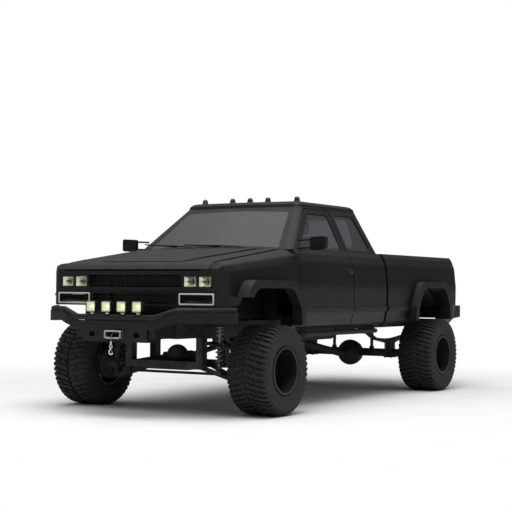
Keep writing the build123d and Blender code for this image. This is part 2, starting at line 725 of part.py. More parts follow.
def cargo_bed():
    """Load box: outer sides, inner walls, floor and wheel housings."""
    section = full_section(BODY_SIDE[:-2] + [(965, 1490, 60), (935, RAIL_Z, 12)])
    floor_low = BED_FLOOR_Z - BED_FLOOR_THICKNESS
    box = along_y(section, BED_FRONT_Y, BED_REAR_Y)
    box -= block(-BED_INNER_X, BED_INNER_X, BED_FRONT_Y + 60, BED_REAR_Y + 10, BED_FLOOR_Z, 1700)
    box -= block(-900, 900, BED_FRONT_Y - 10, BED_REAR_Y - 60, 700, floor_low)
    box -= block(-900, 900, BED_REAR_Y - 61, BED_REAR_Y + 10, 700, 935)
    house = half_drum(WHEELHOUSE_RADIUS, WHEELHOUSE_X, 930)
    well = half_drum(WHEELHOUSE_RADIUS - 12, WHEELHOUSE_X + 12, 962)
    well += block(WHEELHOUSE_X + 12, 962, WHEELBASE - 446, WHEELBASE + 446, 700, 960)
    moulding = side_moulding(BED_FRONT_Y + 6, WHEELBASE - 530)
    for turn in (Compound, mirrored):
        box += turn(house)
        box -= turn(well)
        box -= turn(along_x(rear_arch(0), 900, 1200))
        box += turn(moulding)
    gate_x = TAILGATE_X + TAILGATE_SIDE_GAP
    gate_gap = block(-gate_x, gate_x, TAILGATE_FRONT_Y - 7, BED_REAR_Y + 20, TAILGATE_LOW_Z - 20, 1700)
    return box - gate_gap


def tailgate():
    """Tailgate panel with a pressed outer face and a latch recess."""
    y0, y1 = TAILGATE_FRONT_Y, TAILGATE_REAR_Y
    gate = along_y(slot_rows((-TAILGATE_X, TAILGATE_X, TAILGATE_LOW_Z, RAIL_Z - 5, 12)), y0, y1)
    gate -= along_y(slot_rows((-690, 690, 1090, 1400, 30)), y1 - 8, y1 + 10)
    pin_x = TAILGATE_X + TAILGATE_SIDE_GAP - SEAT_GAP
    gate += rod((-pin_x, *TAILGATE_HINGE), (pin_x, *TAILGATE_HINGE), 9)
    return gate - along_y(slot_rows((-85, 85, 1418, 1468, 12)), y1 - 20, y1 + 10)


TAIL_LAMP = [(838, 1120, 10), (958, 1120, 10), (940, 1455, 10), (838, 1455, 10)]


def tail_lamps():
    """Upright tail lamps on the rear corners of the bed."""
    return both_sides(along_y(TAIL_LAMP, BED_REAR_Y + SEAT_GAP, BED_REAR_Y + 26))


BALL_HOLE_RADIUS = 12.7
BUMPER_REAR_X = 975


def rear_bumper():
    """Step bumper with a sunken middle step, a ball hole and two arms."""
    y0, y1 = BED_REAR_Y + 40, REAR_END
    rows = [(y0, 962, 8), (y1, 962, 14), (y1, 930, 30), (y1 - 12, 895, 20), (y1 - 110, 822, 30), (y0, 808, 8)]
    hollow = [(y0 + 12, 950, 0), (y1 - 14, 950, 8), (y1 - 26, 900, 20), (y1 - 116, 836, 20), (y0 + 12, 822, 0)]
    step_y = y1 - 170
    bar = along_x(rows, -BUMPER_REAR_X, BUMPER_REAR_X)
    bar -= along_x(hollow, -BUMPER_REAR_X + 14, BUMPER_REAR_X - 14)
    bar -= block(-290, 290, step_y, y1 + 10, 900, 970)
    step = block(-302, 302, step_y - 12, y1 - 14, 888, 900)
    step += block(-302, 302, step_y - 12, step_y, 888, 962)
    bar += step
    bar -= rod((0, y1 - 90, 870), (0, y1 - 90, 930), BALL_HOLE_RADIUS)
    cut = along_z([(840, y1 + 10, 0), (990, y1 + 10, 0), (990, y1 - 110, 0)], 780, 990)
    bar -= cut
    bar -= mirrored(cut)
    arm = block(FRAME_X - FRAME_WIDTH + 4, FRAME_X - 4, FRAME_REAR_Y + SEAT_GAP, y0 + 20, 822, 900)
    return bar + arm + mirrored(arm)


FLARE_X = 1096
FLARE_LIP = 14


def wheel_flares():
    """Bolt-on flares round the four wheel openings."""
    front_seat = loft(fender_faces(solid_rows), ruled=True)
    rear_seat = along_y(full_section([(x + SEAT_GAP, z, r) for x, z, r in BODY_SIDE]), 2600, 4379)
    flares = []
    for arch, seat in ((front_arch, front_seat), (rear_arch, rear_seat)):
        band = along_x(arch(-74), 940, FLARE_X) - along_x(arch(-2), 900, 1200)
        band -= along_x(arch(-60), 900, FLARE_X - FLARE_LIP) - along_x(arch(-2 - FLARE_LIP), 800, 1200)
        band -= block(900, 1200, -1000, 5000, 500, 806)
        band -= block(900, 1200, -700, -400, 500, 1070)
        band -= seat
        largest = max(solids_of(band), key=lambda s: s.volume)
        flares.append(both_sides(largest))
    return gathered(*flares)


def side_bars():
    """Tube steps under the sills, each on three brackets."""
    tube = pipe([(720, 640, 712), (965, 700, 712), (965, 2320, 712), (720, 2380, 712)], 24, 60)
    for y in (800, 1500, 2200):
        tube += rod((FRAME_X + SEAT_GAP, y, 714), (950, y, 714), 15)
    return both_sides(tube)


# Running gear

FRAME_RISE = 90
CROSSMEMBERS = [(-560, 733), (2560, 733), (3250, 803), (3640, 803), (4300, 803)]
GEARBOX_MEMBER_Y = 1250
TANK_TOP_Z = 836


def chassis_frame():
    """Ladder frame: two rails, crossmembers and body mounts."""
    top, low, rise = FRAME_TOP_Z, FRAME_BOTTOM_Z, FRAME_RISE
    rows = [
        (FRAME_FRONT_Y, low, 0), (2750, low, 200), (3150, low + rise, 200), (FRAME_REAR_Y, low + rise, 0),
        (FRAME_REAR_Y, top + 70, 0), (3100, top + 70, 200), (2700, top, 200), (FRAME_FRONT_Y, top, 0),
    ]
    rail = along_x(rows, FRAME_X - FRAME_WIDTH, FRAME_X)
    pieces = [rail, mirrored(rail)]
    for y, z in CROSSMEMBERS:
        pieces.append(block(10 - FRAME_X, FRAME_X - 10, y, y + 70, z, z + 60))
    y = GEARBOX_MEMBER_Y
    pieces.append(block(10 - FRAME_X, FRAME_X - 10, y, y + 70, 590, 640))
    for x in (-402, 402):
        pieces.append(block(x - 30, x + 30, y, y + 70, 600, low + 10))
        for y_mount in (620, 2330):
            pieces.append(rod((x, y_mount, top - 5), (x, y_mount, FLOOR_Z - SEAT_GAP), 30))
        for y_mount in (2590, 4150):
            z = top - 5 if y_mount < 3000 else top + 65
            bed_low = BED_FLOOR_Z - BED_FLOOR_THICKNESS - SEAT_GAP
            pieces.append(rod((x, y_mount, z), (x, y_mount, bed_low), 30))
    return fused(pieces)


ARM_PIVOT = (300, 425)
UPPER_PIVOT = (FRAME_X + 18 + SEAT_GAP, 640)
BEAM_Y = 150


def front_subframe():
    """Two dropped crossmembers that carry the lower arms."""
    beams = []
    for y0, y1 in ((-235, -BEAM_Y), (BEAM_Y, 235)):
        beams.append(block(2 - FRAME_X, FRAME_X - 2, y0, y1, 400, 470))
        for x in (-402, 402):
            beams.append(block(x - 34, x + 34, y0, y1, 440, FRAME_BOTTOM_Z - SEAT_GAP))
    beams.append(block(-220, 220, -BEAM_Y - 10, BEAM_Y + 10, 384, 402))
    return fused(beams)


LOWER_BALL_Z = 300
UPPER_BALL_Z = 590


def front_arms():
    """Lower and upper wishbones of both front wheels."""
    x, z = ARM_PIVOT
    reach = BEAM_Y - SEAT_GAP
    lower = rod((x, -reach, z), (x, reach, z), 22)
    for y in (-118, 118):
        lower += rod((x, y, z), (KINGPIN_X - 20, y / 6, LOWER_BALL_Z - 12), 22)
    lower += rod((KINGPIN_X, 0, LOWER_BALL_Z - 24), (KINGPIN_X, 0, LOWER_BALL_Z + 16), 36)
    lower += block(480, 560, -112, -24, 345, COIL_LOW_Z - SEAT_GAP)
    x, z = UPPER_PIVOT
    upper = rod((x, -220, z), (x, 120, z), 18)
    for y in (-200, 100):
        upper += rod((x, y, z), (KINGPIN_X - 20, y / 10, UPPER_BALL_Z), 14)
    upper += rod((KINGPIN_X, 0, UPPER_BALL_Z - 16), (KINGPIN_X, 0, UPPER_BALL_Z + 20), 30)
    return gathered(both_sides(lower), both_sides(upper))


COIL_X = 520
COIL_Y = -68
COIL_LOW_Z = 388
COIL_TOP_Z = 812
COIL_RADIUS = 40
REAR_SHOCK_X = 250


def shock_absorbers():
    """Front coil-overs with their upper brackets, and rear shocks."""
    coil = rod((COIL_X, COIL_Y, COIL_LOW_Z), (COIL_X, COIL_Y, COIL_TOP_Z), 22)
    coil += rod((COIL_X, COIL_Y, COIL_LOW_Z + 60), (COIL_X, COIL_Y, COIL_TOP_Z - 20), COIL_RADIUS)
    coil += block(FRAME_X + SEAT_GAP, COIL_X + 44, COIL_Y - 44, COIL_Y + 44, COIL_TOP_Z - 22, COIL_TOP_Z)
    y_axle = WHEELBASE + 70
    shock = rod((REAR_SHOCK_X, y_axle, 470), (REAR_SHOCK_X, WHEELBASE + 81, 802.7), 26)
    shock += block(REAR_SHOCK_X - 24, REAR_SHOCK_X + 24, WHEELBASE + 46, y_axle + 28, 440, 480)
    shock -= rod((0, WHEELBASE, 410), (900, WHEELBASE, 410), AXLE_TUBE_RADIUS + SEAT_GAP)
    shock = shock & block(0, 900, 0, 4400, 300, CROSSMEMBERS[3][1] - SEAT_GAP)
    return gathered(both_sides(coil), both_sides(shock))


AXLE_TUBE_RADIUS = 46
DIFF_RADIUS = 150
FRONT_NOSE_X = 60
FRONT_NOSE_Z = 518


def rear_axle():
    """Live rear axle: tube, round differential with cover, and hub flanges."""
    z = TYRE_RADIUS
    end = HALF_TRACK + DISC_Z - DISC_THICKNESS / 2 - SPIN_GAP
    axle = rod((-780, WHEELBASE, z), (780, WHEELBASE, z), AXLE_TUBE_RADIUS)
    axle += Pos(0, WHEELBASE, z - 10) * Sphere(DIFF_RADIUS) & block(-135, 135, 3000, 4000, 0, 1000)
    axle += rod((0, WHEELBASE - 210, z - 10), (0, WHEELBASE, z - 10), 52)
    for sign in (-1, 1):
        axle += rod((sign * 770, WHEELBASE, z), (sign * end, WHEELBASE, z), 68)
        axle += rod((sign * 790, WHEELBASE, z), (sign * 850, WHEELBASE, z), 150)
    return axle


def front_axle_drive():
    """Front differential on the subframe and its two half shafts."""
    z = TYRE_RADIUS + 20
    drive = (Pos(0, 0, z + 80) * Sphere(105)) & block(-90, 90, -140, 140, 0, 1000)
    drive += block(-60, 60, -60, 60, 402 + SEAT_GAP, z + 20)
    drive += rod((-150, 0, z + 70), (150, 0, z + 70), 40)
    for sign in (-1, 1):
        drive += rod((sign * 140, 0, z + 70), (sign * (KINGPIN_X - 46), 0, TYRE_RADIUS), 17)
    return drive + rod((FRONT_NOSE_X, 40, FRONT_NOSE_Z), (FRONT_NOSE_X, 150, FRONT_NOSE_Z), 36)


LEAF_X = 520
LEAF_WIDTH = 64


def leaf_springs():
    """Leaf packs on lift blocks, with their hangers on the frame rails."""
    x0, x1 = LEAF_X - LEAF_WIDTH / 2, LEAF_X + LEAF_WIDTH / 2
    front_y, rear_y = WHEELBASE - 620, WHEELBASE + 600
    low = [(front_y, 660, 0), (front_y + 200, 576, 300), (WHEELBASE, 514, 500), (rear_y - 200, 590, 300),
           (rear_y, 690, 0)]
    high = [(y, z + (22 if abs(y - WHEELBASE) > 300 else 58), r) for y, z, r in reversed(low)]
    spring = along_x(low + high, x0, x1)
    for y, z in ((front_y, 671), (rear_y, 701)):
        spring += rod((x0 - 8, y, z), (x1 + 8, y, z), 24)
    spring += block(FRAME_X + SEAT_GAP, x0 + 4, front_y - 26, front_y + 26, 650, 730)
    spring += block(FRAME_X + SEAT_GAP, x0 + 4, rear_y - 26, rear_y + 26, 680, 830)
    foot = block(x0 + 4, x1 - 4, WHEELBASE - 60, WHEELBASE + 60, 420, 530)
    foot -= rod((0, WHEELBASE, TYRE_RADIUS), (900, WHEELBASE, TYRE_RADIUS), AXLE_TUBE_RADIUS + SEAT_GAP)
    return both_sides(spring + foot)


def driveshafts():
    """Shafts from the transfer case to both axles."""
    rear = shaft((0, 1450 + SEAT_GAP, 700), (0, WHEELBASE - 210 - SEAT_GAP, TYRE_RADIUS - 10), 40)
    front = shaft((FRONT_NOSE_X, 150 + SEAT_GAP, FRONT_NOSE_Z), (225, 1100 - SEAT_GAP, 690), 26)
    return gathered(rear, front)


def shaft(front, rear, radius):
    """A shaft between two joints, each with a short yoke that points along Y."""
    yoke = 50
    joints = [Vector(*front) + Vector(0, yoke, 0), Vector(*rear) - Vector(0, yoke, 0)]
    whole = rod(joints[0], joints[1], radius)
    for end, joint in zip((front, rear), joints):
        whole += rod(end, joint, radius) + Pos(*joint) * Sphere(radius + 2)
    return whole


def engine():
    """Engine block on its mounts, with gearbox and transfer case."""
    unit = block(-300, 300, -330, 330, 780, 1260)
    for x0, x1 in ((-FRAME_X + FRAME_WIDTH + SEAT_GAP, -290), (290, FRAME_X - FRAME_WIDTH - SEAT_GAP)):
        unit += block(x0, x1, -60, 60, 790, 830)
    unit += block(-150, 150, 320, 1100, 660, 850)
    return unit + block(-150, 290, 1100, 1450, 640 + SEAT_GAP, 850)


def fuel_tank():
    """Fuel tank beside the left frame rail."""
    inner = FRAME_X - FRAME_WIDTH - SEAT_GAP
    return along_y([(110, 600, 40), (inner, 600, 40), (inner, TANK_TOP_Z, 20), (110, TANK_TOP_Z, 40)],
                   1740, 2480)


def exhaust():
    """Exhaust pipe with its muffler, hung on a crossmember."""
    pipe_run = pipe([(-150.3, 420, 700), (-250, 420, 700), (-250, 2900, 700), (-330, 3080, 610)], 28, 60)
    muffler = rod((-250, 1750, 690), (-250, 2250, 690), 78)
    return pipe_run + muffler + block(-262, -238, 2580, 2604, 690, CROSSMEMBERS[1][1] - SEAT_GAP)


# Wheels, on their own axis: Z is the axle line and points outboard

def tyre():
    """Mud tyre, out to the tips of its lugs."""
    half = TYRE_WIDTH / 2
    rows = [(BEAD_RADIUS, -178, 0), (222, -178, 0), (250, -198, 20), (325, -half, 80), (388, -200, 20),
            (TYRE_RADIUS, -168, 12), (TYRE_RADIUS, 168, 12), (388, 200, 20), (325, half, 80),
            (250, 198, 20), (222, 178, 0), (BEAD_RADIUS, 178, 0)]
    return revolve(outline(Plane.XZ, rows), Axis.Z)


def rim():
    """Deep-dish wheel: barrel, lips, holed disc and nuts."""
    wide, wall = RIM_HALF_WIDTH, RIM_RADIUS - RIM_WALL
    seat = 178 + SEAT_GAP
    rows = [(wall, -wide, 0), (RIM_LIP_RADIUS, -wide, 4), (RIM_LIP_RADIUS, -seat, 0), (RIM_RADIUS, -seat, 0),
            (RIM_RADIUS, seat, 0), (RIM_LIP_RADIUS, seat, 0), (RIM_LIP_RADIUS, wide, 4), (wall, wide, 0)]
    wheel = revolve(outline(Plane.XZ, rows), Axis.Z)
    wheel += Pos(0, 0, DISC_Z) * (Cylinder(wall + 2, DISC_THICKNESS) - Cylinder(HUB_BORE_RADIUS, 40))
    for i in range(8):
        wheel -= Rot(0, 0, 45 * i + 22.5) * Pos(142, 0, DISC_Z) * Cylinder(26, 40)
    nut_z = DISC_Z + DISC_THICKNESS / 2 + 10
    for i in range(NUT_COUNT):
        angle = 360 / NUT_COUNT * i
        wheel += Rot(0, 0, angle) * Pos(NUT_CIRCLE_RADIUS, 0, nut_z) * Cylinder(11, 22)
    return wheel + Pos(0, 0, DISC_Z + 20) * (Cylinder(50, 56) + Pos(0, 0, -14) * Cylinder(58, 10))


def on_axle(shape, y):
    """A left wheel piece put on its axle."""
    return Pos(HALF_TRACK, y, TYRE_RADIUS) * Rot(0, 90, 0) * shape


def knuckle():
    """Left steering knuckle: upright, hub, brake and steering arm."""
    hub_end = HALF_TRACK + DISC_Z - DISC_THICKNESS / 2 - SPIN_GAP
    top, low = UPPER_BALL_Z - 16 - SPIN_GAP, LOWER_BALL_Z + 16 + SPIN_GAP
    upright = rod((KINGPIN_X, 0, low), (KINGPIN_X, 0, top), 27)
    upright += rod((KINGPIN_X - 30, 0, TYRE_RADIUS), (KINGPIN_X + 60, 0, TYRE_RADIUS), 52)
    upright += rod((KINGPIN_X + 50, 0, TYRE_RADIUS), (hub_end, 0, TYRE_RADIUS), 68)
    upright += rod((800, 0, TYRE_RADIUS), (850, 0, TYRE_RADIUS), 150)
    arm_z = TIE_ROD_Z + TIE_END_HEIGHT / 2 + SPIN_GAP
    upright += block(KINGPIN_X - 20, KINGPIN_X + 20, 10, STEERING_ARM, arm_z, arm_z + 24)
    return upright + rod((KINGPIN_X, STEERING_ARM, arm_z), (KINGPIN_X, STEERING_ARM, arm_z + 24), 24)


def tie_rod():
    """Steering link between both knuckles, under their steering arms."""
    z = TIE_ROD_Z
    link = rod((-KINGPIN_X, STEERING_ARM, z), (KINGPIN_X, STEERING_ARM, z), TIE_ROD_RADIUS)
    for x in (-KINGPIN_X, KINGPIN_X):
        link += Pos(x, STEERING_ARM, z) * Cylinder(22, TIE_END_HEIGHT)
    return link


# Nodes

def write_parts():
    """Writes every node, shifted so that the origin is under the middle."""
    os.makedirs("parts", exist_ok=True)
    cab, glass, door, door_glass = cab_pieces()
    left_knuckle = knuckle()
    wheel_tyre, wheel_rim = tyre(), rim()
    nodes = {
        "chassis_frame": chassis_frame(),
        "front_subframe": front_subframe(),
        "front_arms": front_arms(),
        "shock_absorbers": shock_absorbers(),
        "front_axle_drive": front_axle_drive(),
        "rear_axle": rear_axle(),
        "leaf_springs": leaf_springs(),
        "driveshafts": driveshafts(),
        "engine": engine(),
        "radiator": radiator(),
        "fuel_tank": fuel_tank(),
        "exhaust": exhaust(),
        "cab_shell": cab,
        "cab_glass": glass,
        "roof_lamps": roof_lamps(),
        "seats": seats(),
        "dashboard": dashboard(),
        "front_fenders": front_fenders(),
        "front_face": front_face(),
        "front_lamps": front_lamps(),
        "front_bumper": front_bumper(),
        "light_pods": light_pods(),
        "winch": winch(),
        "cargo_bed": cargo_bed(),
        "tail_lamps": tail_lamps(),
        "rear_bumper": rear_bumper(),
        "wheel_flares": wheel_flares(),
        "side_bars": side_bars(),
        "hood": hood(),
        "tailgate": tailgate(),
        "door_left": door,
        "door_right": mirrored(door),
        "door_glass_left": door_glass,
        "door_glass_right": mirrored(door_glass),
        "knuckle_left": left_knuckle,
        "knuckle_right": mirrored(left_knuckle),
        "tie_rod": tie_rod(),
    }
    for place, y in (("front", 0), ("rear", WHEELBASE)):
        for piece, shape in (("tyre", wheel_tyre), ("rim", wheel_rim)):
            left = on_axle(shape, y)
            nodes[f"{piece}_{place}_left"] = left
            nodes[f"{piece}_{place}_right"] = mirrored(left)
    for name, shape in nodes.items():
        export_step(Pos(0, -MIDDLE, 0) * shape, f"parts/{name}.step")


write_parts()
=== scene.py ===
# %% [markdown]
# # A lifted off-road pickup
# This lesson dresses a finished CAD model of a matte black, extended-cab pickup. The truck stands
# on wide mud tyres, with a winch bumper in front and an open load bed behind. The CAD model gives
# every solid its size and place. Here each surface gets a finish, and the pieces that need finer
# forms, such as tyre tread, springs and lamp bowls, are built in mesh code.

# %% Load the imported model
import json
import math

import bmesh
import bpy
from mathutils import Matrix, Vector


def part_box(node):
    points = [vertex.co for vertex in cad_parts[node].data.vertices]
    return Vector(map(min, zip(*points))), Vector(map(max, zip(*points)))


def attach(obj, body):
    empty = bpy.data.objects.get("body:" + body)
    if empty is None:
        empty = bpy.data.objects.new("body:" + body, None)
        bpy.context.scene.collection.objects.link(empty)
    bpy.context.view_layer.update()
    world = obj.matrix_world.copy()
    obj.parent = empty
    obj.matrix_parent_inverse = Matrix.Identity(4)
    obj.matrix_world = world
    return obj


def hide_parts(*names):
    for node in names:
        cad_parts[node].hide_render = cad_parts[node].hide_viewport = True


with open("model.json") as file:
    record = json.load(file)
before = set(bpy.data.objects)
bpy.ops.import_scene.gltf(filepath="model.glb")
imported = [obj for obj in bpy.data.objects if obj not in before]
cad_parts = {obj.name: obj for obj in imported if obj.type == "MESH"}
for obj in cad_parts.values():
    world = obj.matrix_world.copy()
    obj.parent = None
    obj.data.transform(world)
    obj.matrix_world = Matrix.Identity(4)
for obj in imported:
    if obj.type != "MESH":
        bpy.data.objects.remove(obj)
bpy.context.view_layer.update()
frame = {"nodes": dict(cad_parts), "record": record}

NODES = frame["nodes"]

# %% [markdown]
# ## The camera
# The truck is seen from its left front corner, at the height of a sitting person. A long lens from
# about thirteen metres away keeps the wheels almost the same size, as a car photographer would. The
# camera is written as a place and three angles: a matrix made from them is exact and easy to turn.

# %% Camera at the front left corner
EYE = Vector((6.826, -11.621, 1.147))
YAW, PITCH, ROLL = (math.radians(a) for a in (31.389, -1.5, 0.454))
LENS_MM = 87.9


def camera_axes(yaw, pitch, roll):
    """Right, up and back axes of a camera from its three angles."""
    back = Vector((math.sin(yaw) * math.cos(pitch), -math.cos(yaw) * math.cos(pitch), math.sin(pitch)))
    right = Vector((math.cos(yaw), math.sin(yaw), 0))
    up = back.cross(right)
    tilted_right = right * math.cos(roll) + up * math.sin(roll)
    return tilted_right, back.cross(tilted_right), back


def added(name, data, matrix=None):
    """A new object in the scene, put in its place if a matrix is given."""
    obj = bpy.data.objects.new(name, data)
    bpy.context.scene.collection.objects.link(obj)
    if matrix is not None:
        obj.matrix_world = matrix
    return obj


def add_camera():
    """A camera object that looks along minus its back axis."""
    data = bpy.data.cameras.new("camera")
    data.lens = LENS_MM
    data.sensor_width = 36
    turned = Matrix(camera_axes(YAW, PITCH, ROLL)).transposed().to_4x4()
    camera = added("camera", data, Matrix.Translation(EYE) @ turned)
    bpy.context.scene.camera = camera
    return camera


camera = add_camera()
bpy.context.scene.view_settings.view_transform = "Standard"
print("camera at", [round(v, 2) for v in camera.matrix_world.translation])

# %% [markdown]
# ## Small helpers for node trees
# A finish is a tree of shader nodes. Small helpers keep the recipes short: they add a node, set its
# inputs, join two sockets, run a value through a colour ramp, mix two colours, and bump a surface by
# a height.

# %% Node helpers
def set_inputs(node, values):
    """Puts plain values on a node's inputs, by name."""
    for key, value in values.items():
        node.inputs[key].default_value = value


def add_node(tree, kind, place=(0, 0), values=None, **settings):
    """Adds a node with its settings, and with plain values on its inputs."""
    node = tree.nodes.new(kind)
    node.location = place
    for key, value in settings.items():
        setattr(node, key, value)
    set_inputs(node, values or {})
    return node


def join(tree, source, target):
    """Joins an output socket to an input socket."""
    tree.links.new(source, target)


def ramp(tree, source, stops):
    """A colour ramp from (position, colour or grey value) stops."""
    node = add_node(tree, "ShaderNodeValToRGB")
    elements = node.color_ramp.elements
    while len(elements) < len(stops):
        elements.new(0.5)
    for element, (position, value) in zip(elements, stops):
        element.position = position
        element.color = (value, value, value, 1) if isinstance(value, (int, float)) else value
    join(tree, source, node.inputs["Fac"])
    return node.outputs["Color"]


def maths(tree, operation, a, b=None):
    """A Math node on two sockets or numbers."""
    node = add_node(tree, "ShaderNodeMath", operation=operation)
    for index, value in enumerate((a, b)):
        if value is None:
            continue
        if isinstance(value, (int, float)):
            node.inputs[index].default_value = value
        else:
            join(tree, value, node.inputs[index])
    return node.outputs[0]


def mixed(tree, factor, a, b):
    """Mixes two colours by a factor, each a socket or a plain colour."""
    node = add_node(tree, "ShaderNodeMix", data_type="RGBA")
    sockets = (node.inputs[0], node.inputs[6], node.inputs[7])
    for socket, value in zip(sockets, (factor, a, b)):
        if isinstance(value, bpy.types.NodeSocket):
            join(tree, value, socket)
        else:
            socket.default_value = value
    return node.outputs[2]


def noise(tree, vector, scale, detail=4.0, roughness=0.55):
    """A noise value over the surface, scale in blotches per metre."""
    values = {"Scale": scale, "Detail": detail, "Roughness": roughness}
    node = add_node(tree, "ShaderNodeTexNoise", values=values)
    join(tree, vector, node.inputs["Vector"])
    return node.outputs["Fac"]


def relief(tree, shader, height, strength, distance=0.001):
    """Bumps a shader's surface by a height value. Returns the Bump node."""
    bump = add_node(tree, "ShaderNodeBump", values={"Strength": strength, "Distance": distance})
    join(tree, height, bump.inputs["Height"])
    join(tree, bump.outputs["Normal"], shader.inputs["Normal"])
    return bump


def bands(tree, direction, **values):
    """Parallel waves over the surface, as a value from 0 to 1."""
    wave = add_node(tree, "ShaderNodeTexWave", bands_direction=direction, values=values)
    join(tree, place_of(tree), wave.inputs["Vector"])
    return wave.outputs["Fac"]


def place_of(tree):
    """The surface point in the object's own metres."""
    return add_node(tree, "ShaderNodeTexCoord", (-900, 300)).outputs["Object"]


def grey(value):
    """A neutral colour."""
    return (value, value, value, 1)


print("helpers ready")

# %% [markdown]
# ## Effects that several finishes share
# Road dust, worn edges and a moulded grain show on many parts of the truck. Each is one node group
# with named inputs, so every finish can ask for its own amount. Dust gathers low on the body and on
# surfaces that face up. Worn edges come from the Bevel node: where its rounded normal leaves the
# true one, there is an edge. A painted mask would need new work for each piece; these follow it.

# %% Shared node groups
def new_group(name, inputs, outputs):
    """A node group with named float inputs and outputs. Returns the tree and its two end nodes."""
    group = bpy.data.node_groups.new(name, "ShaderNodeTree")
    for title, default in inputs:
        socket = group.interface.new_socket(title, in_out="INPUT", socket_type="NodeSocketFloat")
        socket.default_value = default
    for title in outputs:
        group.interface.new_socket(title, in_out="OUTPUT", socket_type="NodeSocketFloat")
    start = add_node(group, "NodeGroupInput", (-900, 0))
    end = add_node(group, "NodeGroupOutput", (600, 0))
    return group, start, end


def dust_group():
    """Mask of road dust: more near the ground, on tops and in broad blotches."""
    group, start, end = new_group("road_dust", [("Amount", 0.5), ("Top", 0.9), ("Scale", 6.0)], ["Mask"])
    place = place_of(group)
    height = add_node(group, "ShaderNodeSeparateXYZ")
    join(group, place, height.inputs[0])
    low = maths(group, "SUBTRACT", 1.0, maths(group, "DIVIDE", height.outputs["Z"], start.outputs["Top"]))
    facing = add_node(group, "ShaderNodeSeparateXYZ")
    join(group, add_node(group, "ShaderNodeNewGeometry").outputs["Normal"], facing.inputs[0])
    tops = maths(group, "MULTIPLY", maths(group, "MAXIMUM", facing.outputs["Z"], 0.0), 0.5)
    where = maths(group, "MAXIMUM", maths(group, "MAXIMUM", low, 0.0), tops)
    blotch = add_node(group, "ShaderNodeTexNoise", values={"Detail": 8.0, "Roughness": 0.65})
    join(group, place, blotch.inputs["Vector"])
    join(group, start.outputs["Scale"], blotch.inputs["Scale"])
    soft = ramp(group, blotch.outputs["Fac"], [(0.36, 0.0), (0.72, 1.0)])
    strength = maths(group, "MULTIPLY", maths(group, "MULTIPLY", where, soft), start.outputs["Amount"])
    join(group, maths(group, "MINIMUM", strength, 1.0), end.inputs["Mask"])
    return group


def edge_group():
    """Mask of rubbed edges, from the angle between a rounded and the true normal."""
    group, start, end = new_group("worn_edge", [("Width", 0.003), ("Amount", 1.0)], ["Mask"])
    round_off = add_node(group, "ShaderNodeBevel", samples=4)
    join(group, start.outputs["Width"], round_off.inputs["Radius"])
    cosine = add_node(group, "ShaderNodeVectorMath", operation="DOT_PRODUCT")
    join(group, round_off.outputs["Normal"], cosine.inputs[0])
    join(group, add_node(group, "ShaderNodeNewGeometry").outputs["Normal"], cosine.inputs[1])
    bend = maths(group, "SUBTRACT", 1.0, cosine.outputs["Value"])
    broken = ramp(group, noise(group, place_of(group), 35.0, 6.0), [(0.42, 0.0), (0.62, 1.0)])
    mask = maths(group, "MULTIPLY", ramp(group, bend, [(0.03, 0.0), (0.2, 1.0)]), broken)
    join(group, maths(group, "MULTIPLY", mask, start.outputs["Amount"]), end.inputs["Mask"])
    return group


def grain_group():
    """Height of a pebbled grain, as on moulded plastic and powder coat."""
    group, start, end = new_group("pebble_grain", [("Scale", 900.0), ("Depth", 1.0)], ["Height"])
    cells = add_node(group, "ShaderNodeTexVoronoi", feature="SMOOTH_F1")
    join(group, place_of(group), cells.inputs["Vector"])
    join(group, start.outputs["Scale"], cells.inputs["Scale"])
    height = maths(group, "MULTIPLY", cells.outputs["Distance"], start.outputs["Depth"])
    join(group, height, end.inputs["Height"])
    return group


GROUPS = {"dust": dust_group(), "edge": edge_group(), "grain": grain_group()}
print("groups:", sorted(group.name for group in GROUPS.values()))


def use_group(tree, key, output, **values):
    """Places a shared group in a material and returns one of its outputs."""
    return add_node(tree, "ShaderNodeGroup", values=values, node_tree=GROUPS[key]).outputs[output]

# %% [markdown]
# ## One recipe for painted and moulded surfaces
# Most finishes here are the same idea with other numbers: a base colour that drifts a little, dust
# laid over it, bare or grey edges, and a fine bump. One function builds that tree. The Principled
# shader itself stays in each material, so a single number, such as the specular level, sits on its
# own socket.

# %% Coated surfaces
DUST = (0.11, 0.098, 0.08, 1)


def start_material(name):
    """An empty material with its tree and Principled shader."""
    material = bpy.data.materials.new(name)
    material.use_nodes = True
    tree = material.node_tree
    shader = tree.nodes["Principled BSDF"]
    return material, tree, shader


